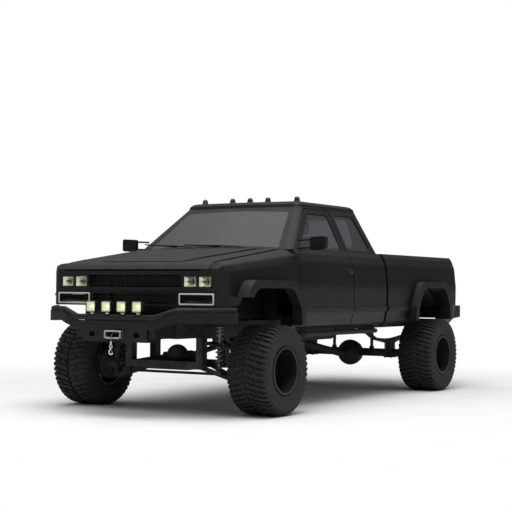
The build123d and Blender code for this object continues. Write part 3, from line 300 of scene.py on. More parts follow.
def coated(name, colour, rough, drift=0.12, dust=0.4, dust_top=0.9, edge=0.0, edge_colour=0.2,
           grain=0.0, grain_scale=900.0, bump=0.02, blotch=2.5, metal=0.0, specular=0.25, rounding=0.0):
    """Paint, powder coat or plastic: drifted colour, dust, edges and a fine bump."""
    material, tree, shader = start_material(name)
    place = place_of(tree)
    wide = noise(tree, place, blotch, 6.0)
    darker = tuple(c * (1 - drift) for c in colour) + (1,)
    lighter = tuple(c * (1 + drift) for c in colour) + (1,)
    base = mixed(tree, ramp(tree, wide, [(0.3, 0.0), (0.7, 1.0)]), darker, lighter)
    worn = use_group(tree, "edge", "Mask", Amount=edge) if edge else None
    if worn:
        base = mixed(tree, worn, base, grey(edge_colour))
    dusty = use_group(tree, "dust", "Mask", Amount=dust, Top=dust_top)
    base = mixed(tree, dusty, base, DUST)
    join(tree, base, shader.inputs["Base Color"])
    streak = ramp(tree, noise(tree, place, 14.0, 8.0), [(0.3, rough - 0.05), (0.7, rough + 0.06)])
    join(tree, mixed(tree, dusty, streak, grey(0.85)), shader.inputs["Roughness"])
    set_inputs(shader, {"Metallic": metal, "Specular IOR Level": specular})
    height = noise(tree, place, 260.0, 3.0)
    if grain:
        height = use_group(tree, "grain", "Height", Scale=grain_scale, Depth=grain)
    bumped = relief(tree, shader, height, bump)
    if rounding:
        soft = add_node(tree, "ShaderNodeBevel", samples=6, values={"Radius": rounding})
        join(tree, soft.outputs["Normal"], bumped.inputs["Normal"])
    return material


COATS = {
    "body_paint": dict(colour=(0.0062, 0.0068, 0.0070), rough=0.40, dust=0.35, dust_top=1.0, bump=0.05,
                       rounding=0.006),
    "bumper_coat": dict(colour=(0.0095, 0.0095, 0.0092), rough=0.5, dust=0.3, edge=0.35, edge_colour=0.07,
                        grain=1.0, bump=0.25, rounding=0.004),
    "trim_plastic": dict(colour=(0.0085, 0.0085, 0.0088), rough=0.5, dust=0.45, dust_top=1.1, grain=1.0,
                         grain_scale=700.0, bump=0.2, rounding=0.004),
    "chassis_paint": dict(colour=(0.012, 0.012, 0.0122), rough=0.42, dust=1.0, dust_top=1.4, edge=0.4,
                          edge_colour=0.09, bump=0.12, rounding=0.003),
    "cast_metal": dict(colour=(0.035, 0.033, 0.031), rough=0.6, dust=1.0, dust_top=1.5, edge=0.3,
                       edge_colour=0.2, grain=0.8, grain_scale=400.0, bump=0.4, rounding=0.004),
    "dash_plastic": dict(colour=(0.03, 0.03, 0.032), rough=0.6, dust=0.1, grain=1.0, bump=0.3,
                         rounding=0.006),
    "tank_plastic": dict(colour=(0.014, 0.014, 0.0145), rough=0.5, dust=1.0, dust_top=1.2, grain=0.7,
                         bump=0.2, rounding=0.01),
    "bare_steel": dict(colour=(0.52, 0.51, 0.48), rough=0.32, dust=0.1, edge=0.2, edge_colour=0.75,
                       bump=0.1, metal=1.0, rounding=0.002),
    "aged_steel": dict(colour=(0.16, 0.13, 0.11), rough=0.5, drift=0.4, dust=0.9, dust_top=1.2, bump=0.3,
                       metal=0.8, blotch=9.0, rounding=0.003),
    "rim_black": dict(colour=(0.010, 0.010, 0.0102), rough=0.28, dust=0.35, edge=0.4, edge_colour=0.12,
                      bump=0.04, rounding=0.002),
    "white_paint": dict(colour=(0.62, 0.63, 0.62), rough=0.4, dust=0.2, bump=0.04, rounding=0.002),
    "rope_steel": dict(colour=(0.2, 0.2, 0.19), rough=0.45, dust=0.3, bump=0.3, metal=0.9, rounding=0.001),
    "spring_paint": dict(colour=(0.34, 0.34, 0.33), rough=0.4, dust=0.5, dust_top=1.2, bump=0.1),
    # Near-black colour: painted shade standing in for the dim cab seen through the windshield.
    "shield_glass_painted_shade": dict(colour=(0.0035, 0.0042, 0.0065), rough=0.1, dust=0.05, bump=0.01, specular=0.8),
    "hook_chrome": dict(colour=(0.8, 0.8, 0.78), rough=0.2, dust=0.1, bump=0.05, metal=1.0),
}
FINISH = {name: coated(name, **values) for name, values in COATS.items()}
print("coated finishes:", len(FINISH))

# %% [markdown]
# ## Glass and lamp lenses
# The side and rear windows are tinted: the cabin and the far windows show through them, dimly. A glass
# shader with a grey base lets some light through and still mirrors the sky. Transmission stays a plain
# number on the shader. A trace of dust changes the roughness, so the panes don't look like holes.

# %% Glass finishes
def glass(name, colour, rough=0.02, dust=0.15, ribs=0.0, mirror=0.5):
    """Clear or tinted glass with a film of dust and, on lamps, moulded ribs."""
    material, tree, shader = start_material(name)
    dusty = use_group(tree, "dust", "Mask", Amount=dust, Top=2.4, Scale=9.0)
    join(tree, mixed(tree, dusty, colour + (1,), grey(0.35)), shader.inputs["Base Color"])
    join(tree, mixed(tree, dusty, grey(rough), grey(0.5)), shader.inputs["Roughness"])
    set_inputs(shader, {"IOR": 1.45, "Transmission Weight": 1.0, "Specular IOR Level": mirror})
    if ribs:
        relief(tree, shader, bands(tree, "X", Scale=ribs), 0.5, 0.002)
    return material


GLASSES = {
    "window_tint": dict(colour=(0.20, 0.21, 0.23), dust=0.05, mirror=0.22),
    "lamp_glass": dict(colour=(0.95, 0.95, 0.86), ribs=22.0),
    "clear_cover": dict(colour=(0.98, 0.98, 0.93), ribs=35.0),
    "smoked_lens": dict(colour=(0.06, 0.045, 0.035), rough=0.06),
    "amber_lens": dict(colour=(0.85, 0.34, 0.04), rough=0.12),
    "red_lens": dict(colour=(0.5, 0.015, 0.012), rough=0.1, ribs=14.0),
}
FINISH.update({name: glass(name, **values) for name, values in GLASSES.items()})
print("glass finishes:", len(GLASSES))

# %% [markdown]
# ## Rubber, reflectors, lenses with a painted glow, and cloth
# These finishes don't follow the coat recipe. Rubber is rough and goes grey-brown where mud has
# dried between the lugs. A reflector is a mirror with ripples. Seat cloth needs a weave, which two
# crossed wave textures give without any picture or unwrapped map.

# %% Special finishes
def tyre_rubber():
    """Matt rubber in the wheel's own frame, dustier between the lugs."""
    material, tree, shader = start_material("tyre_rubber")
    place = place_of(tree)
    axes = add_node(tree, "ShaderNodeSeparateXYZ")
    join(tree, place, axes.inputs[0])
    squares = [maths(tree, "MULTIPLY", axes.outputs[axis], axes.outputs[axis]) for axis in "YZ"]
    radius = maths(tree, "SQRT", maths(tree, "ADD", *squares))
    depth = ramp(tree, radius, [(0.375, 1.0), (0.408, 0.15)])
    patches = ramp(tree, noise(tree, place, 22.0, 9.0, 0.7), [(0.35, 0.1), (0.75, 1.0)])
    dusty = maths(tree, "MULTIPLY", maths(tree, "MULTIPLY", depth, patches), 0.42)
    base = mixed(tree, noise(tree, place, 4.0), grey(0.0075), grey(0.014))
    join(tree, mixed(tree, dusty, base, (0.085, 0.074, 0.06, 1)), shader.inputs["Base Color"])
    join(tree, ramp(tree, patches, [(0.0, 0.62), (1.0, 0.86)]), shader.inputs["Roughness"])
    set_inputs(shader, {"Specular IOR Level": 0.35})
    relief(tree, shader, noise(tree, place, 420.0, 5.0), 0.35, 0.0015)
    return material


def reflector():
    """Rippled bright metal at the back of a lamp."""
    material, tree, shader = start_material("lamp_reflector")
    place = place_of(tree)
    tone = ramp(tree, noise(tree, place, 30.0), [(0.3, (0.62, 0.62, 0.5, 1)), (0.7, (0.9, 0.9, 0.74, 1))])
    join(tree, tone, shader.inputs["Base Color"])
    set_inputs(shader, {"Metallic": 1.0, "Roughness": 0.22})
    facets = add_node(tree, "ShaderNodeTexVoronoi", values={"Scale": 90.0})
    join(tree, place, facets.inputs["Vector"])
    relief(tree, shader, facets.outputs["Distance"], 0.4, 0.002)
    return material


def fluted_lens(name, colour, scale, glow):
    """A pale lens with painted highlights on its flutes, painted shade between them and a faint painted glow.
    """
    material, tree, shader = start_material(name)
    flutes = bands(tree, "X", Scale=scale, Distortion=0.3)
    # The flutes are painted dark and light in turn: painted shade in the grooves, painted highlight on the
    # ridges.
    flute_painted_shade = tuple(c * 0.45 for c in colour) + (1,)
    base = mixed(tree, flutes, flute_painted_shade, colour + (1,))
    dusty = use_group(tree, "dust", "Mask", Amount=0.3, Top=1.8, Scale=20.0)
    join(tree, mixed(tree, dusty, base, DUST), shader.inputs["Base Color"])
    # The emission is a painted glow standing in for light caught in the lens.
    join(tree, base, shader.inputs["Emission Color"])
    set_inputs(shader, {"Emission Strength": glow, "Roughness": 0.12})
    relief(tree, shader, flutes, 0.6, 0.002)
    return material


def seat_cloth():
    """Grey woven cloth with crossed threads and a soft sheen."""
    material, tree, shader = start_material("seat_cloth")
    threads = [bands(tree, direction, Scale=120.0, Distortion=1.5, Detail=2.0) for direction in "XZ"]
    weave = maths(tree, "MULTIPLY", *threads)
    worn = ramp(tree, noise(tree, place_of(tree), 5.0, 6.0), [(0.35, 0.0), (0.7, 1.0)])
    base = mixed(tree, worn, (0.045, 0.046, 0.05, 1), (0.075, 0.075, 0.078, 1))
    join(tree, mixed(tree, weave, base, grey(0.12)), shader.inputs["Base Color"])
    set_inputs(shader, {"Roughness": 0.9, "Sheen Weight": 0.4})
    relief(tree, shader, weave, 0.5)
    return material


def painted_glow_surface(name, colour, strength):
    """A surface with a painted glow that stands in for caught light, whose brightness drifts a little."""
    material, tree, shader = start_material(name)
    dimmer = tuple(c * 0.7 for c in colour) + (1,)
    tone = mixed(tree, noise(tree, place_of(tree), 60.0), colour + (1,), dimmer)
    join(tree, tone, shader.inputs["Base Color"])
    join(tree, tone, shader.inputs["Emission Color"])
    set_inputs(shader, {"Emission Strength": strength, "Roughness": 0.3})
    return material


FINISH["tyre_rubber"] = tyre_rubber()
FINISH["reflector"] = reflector()
# Both lens finishes carry painted flute highlights and a faint painted glow.
FINISH["pod_lens"] = fluted_lens("pod_lens", (0.55, 0.56, 0.28), 30.0, 0.12)
FINISH["head_lens"] = fluted_lens("head_lens", (0.28, 0.28, 0.15), 45.0, 0.1)
FINISH["seat_cloth"] = seat_cloth()
# The work lamps' bowl and bulb get a painted glow in place of reflected light.
FINISH["pod_bowl_painted_glow"] = painted_glow_surface("pod_bowl_painted_glow", (0.62, 0.64, 0.36), 0.8)
FINISH["bulb_painted_glow"] = painted_glow_surface("bulb_painted_glow", (0.9, 0.9, 0.7), 1.6)
print("all finishes:", len(FINISH))

# %% [markdown]
# ## Every CAD node gets its finish
# The solids that already have the right shape stay as they are and only take a material. The
# table goes by the record's material slots, and a slot that isn't in it has a finish of its own name.

# %% Finishes by material slot
SLOT_FINISH = {
    "body_black": "body_paint",
    "chassis_black": "chassis_paint",
    "bumper_black": "bumper_coat",
    "cast_grey": "cast_metal",
    "trim_black": "trim_plastic",
    "cabin_cloth": "seat_cloth",
    "tinted_glass": "window_tint",
    "lamp_lens": "head_lens",
    "winch_steel": "bare_steel",
    # head_lens carries painted flute highlights and a painted glow.
    "exhaust_steel": "aged_steel",
}
SLOT_OF = {part["node"]: part["material_slot"] for part in frame["record"]["subparts"]}


def dress(obj, *names):
    """Gives an object its finishes, in order."""
    if obj.data.materials:  # clearing an empty list would set every face back to the first finish
        obj.data.materials.clear()
    for name in names:
        obj.data.materials.append(FINISH[name])


for node, obj in NODES.items():
    dress(obj, SLOT_FINISH.get(SLOT_OF[node], SLOT_OF[node]))
print("dressed nodes:", len(NODES))

# %% [markdown]
# ## A small mesh kit
# Nearly every added piece is a skin over a row of rings: a turned tyre, a bent tube, a chamfered
# block and a lamp rim differ only in how the rings are laid out. Working with rings in bmesh keeps
# full control of each point and needs no boolean cuts.

# %% Mesh kit
def skin(build, rings, wrap=False, caps=True, finish=0):
    """Faces between neighbouring rings of equal length, with end caps or wrapped round."""
    rows = [[build.verts.new(point) for point in ring] for ring in rings]
    pairs = list(zip(rows, rows[1:])) + ([(rows[-1], rows[0])] if wrap else [])
    faces = []
    for low, high in pairs:
        for i, vert in enumerate(low):
            j = (i + 1) % len(low)
            faces.append(build.faces.new((vert, low[j], high[j], high[i])))
    if caps and not wrap:
        faces += [build.faces.new(rows[0]), build.faces.new(rows[-1][::-1])]
    for face in faces:
        face.material_index = finish


def circle(count, radius=1.0, shift=0.0):
    """Evenly spaced (u, v) points on a circle. The shift is a share of one step."""
    angles = [2 * math.pi * (i + shift) / count for i in range(count)]
    return [(radius * math.cos(a), radius * math.sin(a)) for a in angles]


def turned(build, profile, matrix=Matrix(), segments=32, wrap=False, finish=0):
    """A lathe piece round the matrix's X axis, from (radius, x) points."""
    rings = [[matrix @ Vector((x, u, v)) for u, v in circle(segments, radius)] for radius, x in profile]
    skin(build, rings, wrap, finish=finish)


def along(direction, place=(0, 0, 0)):
    """A matrix whose X axis points along a direction."""
    turn = Vector(direction).to_track_quat("X", "Z").to_matrix().to_4x4()
    return Matrix.Translation(place) @ turn


def bar(build, start, stop, radius, segments=16, chamfer=0.002, finish=0):
    """A round bar with chamfered ends between two points."""
    start, stop = Vector(start), Vector(stop)
    length = (stop - start).length
    edge = min(chamfer, radius / 3, length / 3)
    profile = [(radius - edge, 0), (radius, edge), (radius, length - edge), (radius - edge, length)]
    turned(build, profile, along(stop - start, start), segments, finish=finish)


def block(build, low, high, chamfer=0.003, matrix=Matrix(), finish=0):
    """A box between two corners, with every edge chamfered."""
    size = [b - a for a, b in zip(low, high)]
    c = min([chamfer] + [s / 3 for s in size])
    (x0, y0, z0), (x1, y1, z1) = low, high

    def ring(z, inset):
        u0, v0, u1, v1 = x0 + inset, y0 + inset, x1 - inset, y1 - inset
        corners = [(u0 + c, v0), (u1 - c, v0), (u1, v0 + c), (u1, v1 - c),
                   (u1 - c, v1), (u0 + c, v1), (u0, v1 - c), (u0, v0 + c)]
        return [matrix @ Vector((u, v, z)) for u, v in corners]

    skin(build, [ring(z0, c / 2), ring(z0 + c, 0), ring(z1 - c, 0), ring(z1, c / 2)], finish=finish)


def tube(build, points, radius, sides=10, closed=False, finish=0):
    """A round tube that follows a list of points."""
    points = [Vector(point) for point in points]
    count = len(points)
    rings = []
    side = None
    for i, point in enumerate(points):
        before = points[i - 1] if i or closed else point
        after = points[(i + 1) % count] if i < count - 1 or closed else point
        ahead = (after - before).normalized()
        if side is None:
            side = ahead.orthogonal().normalized()
        side = (side - ahead * side.dot(ahead)).normalized()
        other = ahead.cross(side)
        rings.append([point + (side * u + other * v) * radius for u, v in circle(sides)])
    skin(build, rings, wrap=closed, finish=finish)


def rounded(width, height, radius, steps=4):
    """Points of a rounded rectangle round the origin."""
    points = []
    half_u, half_v = width / 2 - radius, height / 2 - radius
    for index, (u, v) in enumerate(((1, 1), (-1, 1), (-1, -1), (1, -1))):
        for k in range(steps + 1):
            angle = math.pi / 2 * (index + k / steps)
            points.append((u * half_u + radius * math.cos(angle), v * half_v + radius * math.sin(angle)))
    return points


def panel(build, sections, matrix=Matrix(), wrap=False, caps=True, finish=0):
    """A stack of flat outlines: each section is (points, depth) and depth runs along matrix's Z."""
    rings = [[matrix @ Vector((u, v, depth)) for u, v in points] for points, depth in sections]
    skin(build, rings, wrap, caps, finish)


def facing(place, normal, up=(0, 0, 1)):
    """A matrix at a place whose Z axis is a normal and whose Y axis is up."""
    back = Vector(normal).normalized()
    side = Vector(up).cross(back).normalized()
    return Matrix.Translation(place) @ Matrix((side, back.cross(side), back)).transposed().to_4x4()


def piece(name, build, finishes, body, replaced=(), matrix=None, sharp=38):
    """Turns a bmesh into a shaded object that rides on a CAD body."""
    bmesh.ops.recalc_face_normals(build, faces=build.faces)
    mesh = bpy.data.meshes.new(name)
    build.to_mesh(mesh)
    build.free()
    mesh.shade_smooth()
    mesh.set_sharp_from_angle(angle=math.radians(sharp))
    obj = added(name, mesh, matrix)
    dress(obj, *finishes)
    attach(obj, body)
    if replaced:
        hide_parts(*replaced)
    return obj


def middle_of(node):
    """Centre of a CAD node's box."""
    low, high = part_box(node)
    return (Vector(low) + Vector(high)) / 2


FRONT_AXLE = middle_of("tyre_front_left")
REAR_AXLE = middle_of("tyre_rear_left")


def station(y):
    """A distance behind the front axle, as the truck's own Y."""
    return FRONT_AXLE.y + y


print("front axle at", round(FRONT_AXLE.y, 4), "rear axle at", round(REAR_AXLE.y, 4))

# %% [markdown]
# ## Mud tyres
# A mud tyre is known by deep, open lugs that wrap over the shoulder. The carcass is turned from a
# closed section. Each lug is swept across the tread along a slanted path, so its sides run true to
# the tyre's curve. Two lengths of lug alternate and the two sides are set half a pitch apart. The
# tread was also possible as a bump, but its outline shows against the white ground. Each tyre is
# spun by its own angle, so that no two show the same lugs on the ground.

# %% Tyre pieces
TYRE_RADIUS = 0.4095
TREAD_BASE = 0.389
PITCHES = 24
CARCASS = [(0.2068, 0.176), (0.222, 0.176), (0.232, 0.186), (0.25, 0.1955), (0.286, 0.203), (0.325, 0.2055),
           (0.352, 0.203), (0.37, 0.196), (0.382, 0.182), (TREAD_BASE, 0.16), (0.3905, 0.08)]
LONG_LUG = [(0.012, 0.0, 0.0), (0.05, 0.0, 3.6), (0.098, 0.0, 4.4), (0.15, 0.0, 6.6), (0.176, 0.0045, 7.0),
            (0.194, 0.018, 7.1), (0.2035, 0.04, 7.1), (0.2068, 0.066, 7.1)]
SHORT_LUG = [(0.108, 0.0, 12.2), (0.15, 0.0, 14.2), (0.176, 0.0045, 14.5), (0.194, 0.018, 14.6),
             (0.2025, 0.034, 14.6)]
CENTRE_LUG = [(0.018, 0.0, 7.8), (0.052, 0.0, 11.0), (0.088, 0.0, 11.6)]
LUG_HALF_WIDTHS = [(LONG_LUG, 0.0165), (SHORT_LUG, 0.014), (CENTRE_LUG, 0.0125)]
LUG_ROOT = 0.030
SIDE_RIBS = [(0.238, 0.1925), (0.262, 0.2), (0.312, 0.2062)]
TYRE_SEGMENTS = 96
SPIN_STEP = 37


def lug(build, path, turn, side, half_width):
    """One lug: (x, drop below the tread, angle in degrees) along its path."""
    rings = []
    for x, drop, slant in path:
        top = TYRE_RADIUS - drop
        angle = math.radians(turn + slant)
        outward = min(1.0, drop / 0.03)
        rows = [(-half_width * 1.12, 0.0), (-half_width, LUG_ROOT * 0.8), (-half_width * 0.82, LUG_ROOT),
                (half_width * 0.82, LUG_ROOT), (half_width, LUG_ROOT * 0.8), (half_width * 1.12, 0.0)]
        ring = []
        for across, height in rows:
            radius = top - (LUG_ROOT - height) * (1 - 0.85 * outward)
            shift = -(LUG_ROOT - height) * outward * 0.45
            bend = angle + across / TYRE_RADIUS
            ring.append(Vector(((x + shift) * side, radius * math.cos(bend), radius * math.sin(bend))))
        rings.append(ring)
    skin(build, rings)


def tyre_mesh():
    """Carcass, lugs and sidewall ribs of one tyre, in its own frame."""
    build = bmesh.new()
    profile = CARCASS + [(radius, -x) for radius, x in reversed(CARCASS)]
    turned(build, profile, segments=TYRE_SEGMENTS, wrap=True)
    pitch = 360 / PITCHES
    for index in range(PITCHES):
        for side, offset in ((1, 0.0), (-1, pitch / 2)):
            for path, half_width in LUG_HALF_WIDTHS:
                lug(build, path, index * pitch + offset, side, half_width)
    for side in (1, -1):
        for radius, x in SIDE_RIBS:
            rib = [(radius - 0.004, x - 0.004), (radius - 0.002, x + 0.0012), (radius + 0.002, x + 0.0014),
                   (radius + 0.004, x - 0.004)]
            turned(build, [(r, side * u) for r, u in rib], segments=TYRE_SEGMENTS, wrap=True)
    return build


def wheel_matrix(node):
    """Place of a wheel with its own X axis pointing outboard."""
    place = middle_of(node)
    turn = 0 if place.x > 0 else math.pi
    return Matrix.Translation(place) @ Matrix.Rotation(turn, 4, "Z")


WHEELS = [f"{end}_{side}" for end in ("front", "rear") for side in ("left", "right")]
tyres = []
for spin, wheel in enumerate(WHEELS):
    build = tyre_mesh()
    build.transform(Matrix.Rotation(math.radians(SPIN_STEP * spin), 4, "X"))
    tyre = piece(f"mud_tyre_{wheel}", build, ["tyre_rubber"], f"wheel_{wheel}",
                 [f"tyre_{wheel}"], wheel_matrix(f"tyre_{wheel}"), sharp=30)
    tyres.append(tyre)
print("tyres:", len(tyres), "faces each:", len(tyres[0].data.polygons))

# %% [markdown]
# ## Wheel nuts, hub covers and valves
# The CAD wheel has the deep barrel, the holed disc and round studs. Hexagon nuts with washers, a
# turned hub cover with its ring of screws, and a valve give the dish something to catch the light.

# %% Wheel furniture
DISC_FACE = 0.017
NUT_CIRCLE = 0.06985
SCREW_CIRCLE = 0.036
WHEEL_BOLTS = 6
HUB_END = 0.0235


def wheel_furniture():
    """Nuts, hub cover and valve in the wheel's own frame."""
    build = bmesh.new()
    washer = [(0.0165, -DISC_FACE), (0.0165, -DISC_FACE + 0.004), (0.0135, -DISC_FACE + 0.005)]
    nut = [(0.0128, -0.012), (0.0128, 0.002), (0.0118, 0.0045), (0.0065, 0.0065)]
    for y, z in circle(WHEEL_BOLTS, NUT_CIRCLE):
        turned(build, washer, Matrix.Translation((0, y, z)), 18, finish=1)
        turned(build, nut, Matrix.Translation((0, y, z)), 6, finish=1)
    cover = [(0.0588, -0.0075), (0.0588, 0.002), (0.052, 0.006), (0.0515, HUB_END), (0.047, HUB_END + 0.0035),
             (0.02, HUB_END + 0.0045), (0.0185, HUB_END + 0.002), (0.004, HUB_END + 0.002)]
    turned(build, cover, segments=40, finish=0)
    screw = [(0.0042, 0.0), (0.0042, 0.0068), (0.003, 0.0076)]
    for y, z in circle(WHEEL_BOLTS, SCREW_CIRCLE, 0.5):
        turned(build, screw, Matrix.Translation((HUB_END, y, z)), 10, finish=1)
    bar(build, (0.13, 0.192, 0.0), (0.152, 0.178, 0.0), 0.0042, 10, finish=2)
    bar(build, (0.152, 0.178, 0.0), (0.166, 0.169, 0.0), 0.0055, 10, finish=2)
    return build


for wheel in WHEELS:
    piece(f"wheel_furniture_{wheel}", wheel_furniture(), ["rim_black", "bare_steel", "trim_plastic"],
          f"wheel_{wheel}", (), wheel_matrix(f"rim_{wheel}"))
print("wheel furniture on", len(WHEELS), "wheels")

# %% [markdown]
# ## Headlamps and the wide lamps below
# Each headlamp is a glass cover over a bowl with a bulb shield, so light goes in, bounces off the
# bowl and comes out in streaks, as in a real lamp. A flat yellow block would look painted. The wide
# lower lamps have a smoked cover in a white frame, which is the brightest line on the truck's face.

# %% Front lamps
FACE_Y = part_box("front_face")[0][1]
HEADLAMP_CENTRES = [(0.611, 1.204), (0.769, 1.204)]
HEADLAMP_SIZE = (0.1314, 0.0914)
WIDE_LAMP = (0.686, 1.05)
WIDE_LAMP_SIZE = (0.372, 0.104)
FRAME_BAND = 0.017


def lamp_cover(build, place, size, depth, finish=0):
    """A slightly domed glass cover with rounded corners."""
    matrix = facing(place, (0, -1, 0))
    width, height = size
    levels = [(1.0, 0.0), (1.0, depth * 0.6), (0.94, depth * 0.92), (0.6, depth)]
    sections = [(rounded(width * k, height * k, 0.01 * k), z) for k, z in levels]
    panel(build, sections, matrix, finish=finish)


def lamp_bowl(build, place, size, depth, back=0.25, finish=0):
    """An open bowl from a rounded rectangle at the front to a small circle at the back."""
    matrix = facing(place, (0, -1, 0))
    width, height = size
    sections = []
    for step in range(7):
        share = step / 6
        narrow = 1 - (1 - back) * share ** 0.6
        corner = min(0.01 + 0.03 * share, height * narrow * 0.49)
        sections.append((rounded(width * narrow, height * narrow, corner), -depth * share))
    panel(build, sections, matrix, caps=False, finish=finish)
    base = sections[-1][0]
    rim = [[matrix @ Vector((u * k, v * k, -depth)) for u, v in base] for k in (1.0, 0.02)]
    skin(build, rim, caps=False, finish=finish)


def headlamp(build, x, z):
    """Cover, bowl, shield and dark surround of one headlamp."""
    width, height = HEADLAMP_SIZE
    face = FACE_Y + 0.008
    lamp_cover(build, (x, face + 0.006, z), HEADLAMP_SIZE, 0.006)
    lamp_bowl(build, (x, face + 0.0065, z), (width * 0.96, height * 0.94), 0.032, finish=1)
    block(build, (x - width * 0.3, face + 0.014, z - 0.006), (x + width * 0.12, face + 0.024, z + 0.006),
          finish=2)
    bar(build, (x, face + 0.012, z), (x, face + 0.034, z), 0.013, finish=2)


def wide_lamp(build, x, z):
    """Smoked cover with bars behind it, inside the white frame."""
    width, height = (size - 2 * FRAME_BAND for size in WIDE_LAMP_SIZE)
    face = FACE_Y + 0.01
    lamp_cover(build, (x, face + 0.004, z), (width - 0.001, height - 0.001), 0.004, finish=3)
    lamp_bowl(build, (x, face + 0.006, z), (width * 0.97, height * 0.92), 0.028, back=0.6, finish=2)
    for row in (-1, 0, 1):
        block(build, (x - width * 0.45, face + 0.008, z + row * 0.018 - 0.0025),
              (x + width * 0.45, face + 0.014, z + row * 0.018 + 0.0025), 0.001, finish=1)


def lamp_frame(build, x, z):
    """White frame round a wide lamp: a closed loop with a rounded section."""
    width, height = WIDE_LAMP_SIZE
    matrix = facing((x, FACE_Y - 0.0005, z), (0, -1, 0))
    inner = FRAME_BAND - 0.004
    loops = [(0.0, 0.0), (0.0, 0.0045), (inner * 0.2, 0.0062), (inner * 0.8, 0.0062), (inner, 0.0045),
             (inner, 0.0)]
    sections = [(rounded(width - 2 * i, height - 2 * i, 0.012 - i * 0.4), z_up) for i, z_up in loops]
    panel(build, sections, matrix, wrap=True)


lamps = bmesh.new()
frames = bmesh.new()
for sign in (1, -1):
    for x, z in HEADLAMP_CENTRES:
        headlamp(lamps, sign * x, z)
    wide_lamp(lamps, sign * WIDE_LAMP[0], WIDE_LAMP[1])
    lamp_frame(frames, sign * WIDE_LAMP[0], WIDE_LAMP[1])
piece("headlamps", lamps, ["lamp_glass", "reflector", "trim_plastic", "smoked_lens"], "chassis",
      ["front_lamps"])
piece("wide_lamp_frames", frames, ["white_paint"], "chassis")
print("headlamps at", HEADLAMP_CENTRES)

# %% [markdown]
# ## Work lamps on the bumper tube
# The four square lamps are the brightest things in the picture. Each gets a cast housing that is open
# in front, with fins behind, a white rim with screws, a bowl behind a clear cover, a bulb, and a bracket
# with a bolt. The bowl and bulb carry a painted glow that stands in for the light they catch, so the
# lamps need no light of their own.

# %% Work lamps
POD_LOW, POD_HIGH = (Vector(corner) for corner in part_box("light_pods"))
POD_XS = (-0.255, -0.085, 0.085, 0.255)
POD_SIZE = 0.1
POD_Z = POD_HIGH.z - POD_SIZE / 2 + 0.002
POD_FACE = POD_LOW.y


def work_lamp(build, x):
    """One square work lamp with its bracket."""
    half = POD_SIZE / 2
    matrix = facing((x, POD_FACE + 0.055, POD_Z), (0, -1, 0))
    shell = [(0.5, -0.018), (0.86, -0.012), (0.96, 0.004), (1.0, 0.02), (1.0, 0.046), (0.97, 0.0545),
             (0.88, 0.0545), (0.86, 0.046), (0.84, 0.016), (0.45, -0.014)]
    sections = [(rounded(POD_SIZE * k * 0.98, POD_SIZE * k * 0.94, 0.016 * k), z) for k, z in shell]
    panel(build, sections, matrix, wrap=True)
    rim = [(0.95, 0.054), (0.95, 0.0549), (0.87, 0.0549), (0.87, 0.054)]
    panel(build, [(rounded(POD_SIZE * k, POD_SIZE * k * 0.96, 0.014 * k), z) for k, z in rim], matrix,
          wrap=True, finish=5)
    bar(build, (x, POD_FACE + 0.066, POD_Z), (x, POD_FACE + 0.074, POD_Z), 0.027, 20, 0.002)
    for row in range(5):
        z = POD_Z - 0.03 + 0.015 * row
        low, high = (x - 0.036, POD_FACE + 0.062, z - 0.002), (x + 0.036, POD_FACE + 0.072, z + 0.002)
        block(build, low, high, 0.001)
    lamp_bowl(build, (x, POD_FACE + 0.003, POD_Z), (POD_SIZE * 0.82, POD_SIZE * 0.77), 0.034, 0.3, finish=1)
    bulb = [(0.0125, 0.0), (0.0125, 0.012), (0.009, 0.018), (0.003, 0.02)]
    turned(build, bulb, along((0, -1, 0), (x, POD_FACE + 0.037, POD_Z)), 16, finish=2)
    lamp_cover(build, (x, POD_FACE + 0.003, POD_Z), (POD_SIZE * 0.84, POD_SIZE * 0.79), 0.0025, finish=3)
    for u in (-1, 1):
        for v in (-1, 1):
            spot = (x + u * half * 0.86, POD_FACE + 0.0015, POD_Z + v * half * 0.82)
            screw = [(0.0032, 0.0), (0.0032, 0.0012), (0.002, 0.0014)]
            turned(build, screw, along((0, -1, 0), spot), 8, finish=4)
    foot = POD_LOW.z
    low, high = (x - 0.018, POD_FACE + 0.022, foot + 0.0005), (x + 0.018, POD_FACE + 0.042, foot + 0.02)
    block(build, low, high, 0.002, finish=4)
    bar(build, (x, POD_FACE + 0.032, foot + 0.02), (x, POD_FACE + 0.032, foot + 0.03), 0.009, 6, finish=4)


pods = bmesh.new()
for x in POD_XS:
    work_lamp(pods, x)
# The bowl and bulb finishes carry a painted glow.
POD_FINISHES = ["bumper_coat", "pod_bowl_painted_glow", "bulb_painted_glow", "clear_cover", "bare_steel", "white_paint"]
piece("work_lamps", pods, POD_FINISHES, "chassis", ["light_pods"])
print("work lamps at", POD_XS)

# %% [markdown]
# ## Roof marker lamps, side trim and small body pieces
# Small parts tell the eye how large the truck is. Smoked roof lamps, door pulls, mirror glass, wipers
# and the slots of the cowl are each a few rings of points on the CAD body's faces.

# %% Roof lamps, door pulls, mirrors and wipers
ROOF_LAMP_LOW, ROOF_LAMP_HIGH = (Vector(corner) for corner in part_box("roof_lamps"))
ROOF_LAMP_XS = (-0.56, -0.215, 0.0, 0.215, 0.56)


def roof_lamp(build, x):
    """A smoked dome on a dark base gasket."""
    centre = (ROOF_LAMP_LOW.y + ROOF_LAMP_HIGH.y) / 2
    low, high = ROOF_LAMP_LOW.z + 0.002, ROOF_LAMP_HIGH.z - 0.0005
    reach = high - low
    dome = [(0.0315, 0.0), (0.0315, reach * 0.25), (0.029, reach * 0.3), (0.0285, reach * 0.5),
            (0.023, reach * 0.8), (0.012, reach * 0.96), (0.003, reach)]
    turned(build, dome, along((0, 0, 1), (x, centre, low)), 24)


domes = bmesh.new()
for x in ROOF_LAMP_XS:
    roof_lamp(domes, x)
piece("marker_lamps", domes, ["smoked_lens"], "chassis", ["roof_lamps"])

HANDLE_PLACE = (1.006, station(1.59), 1.335)
MIRROR_PLACE = (1.1225, station(0.7525), 1.588)


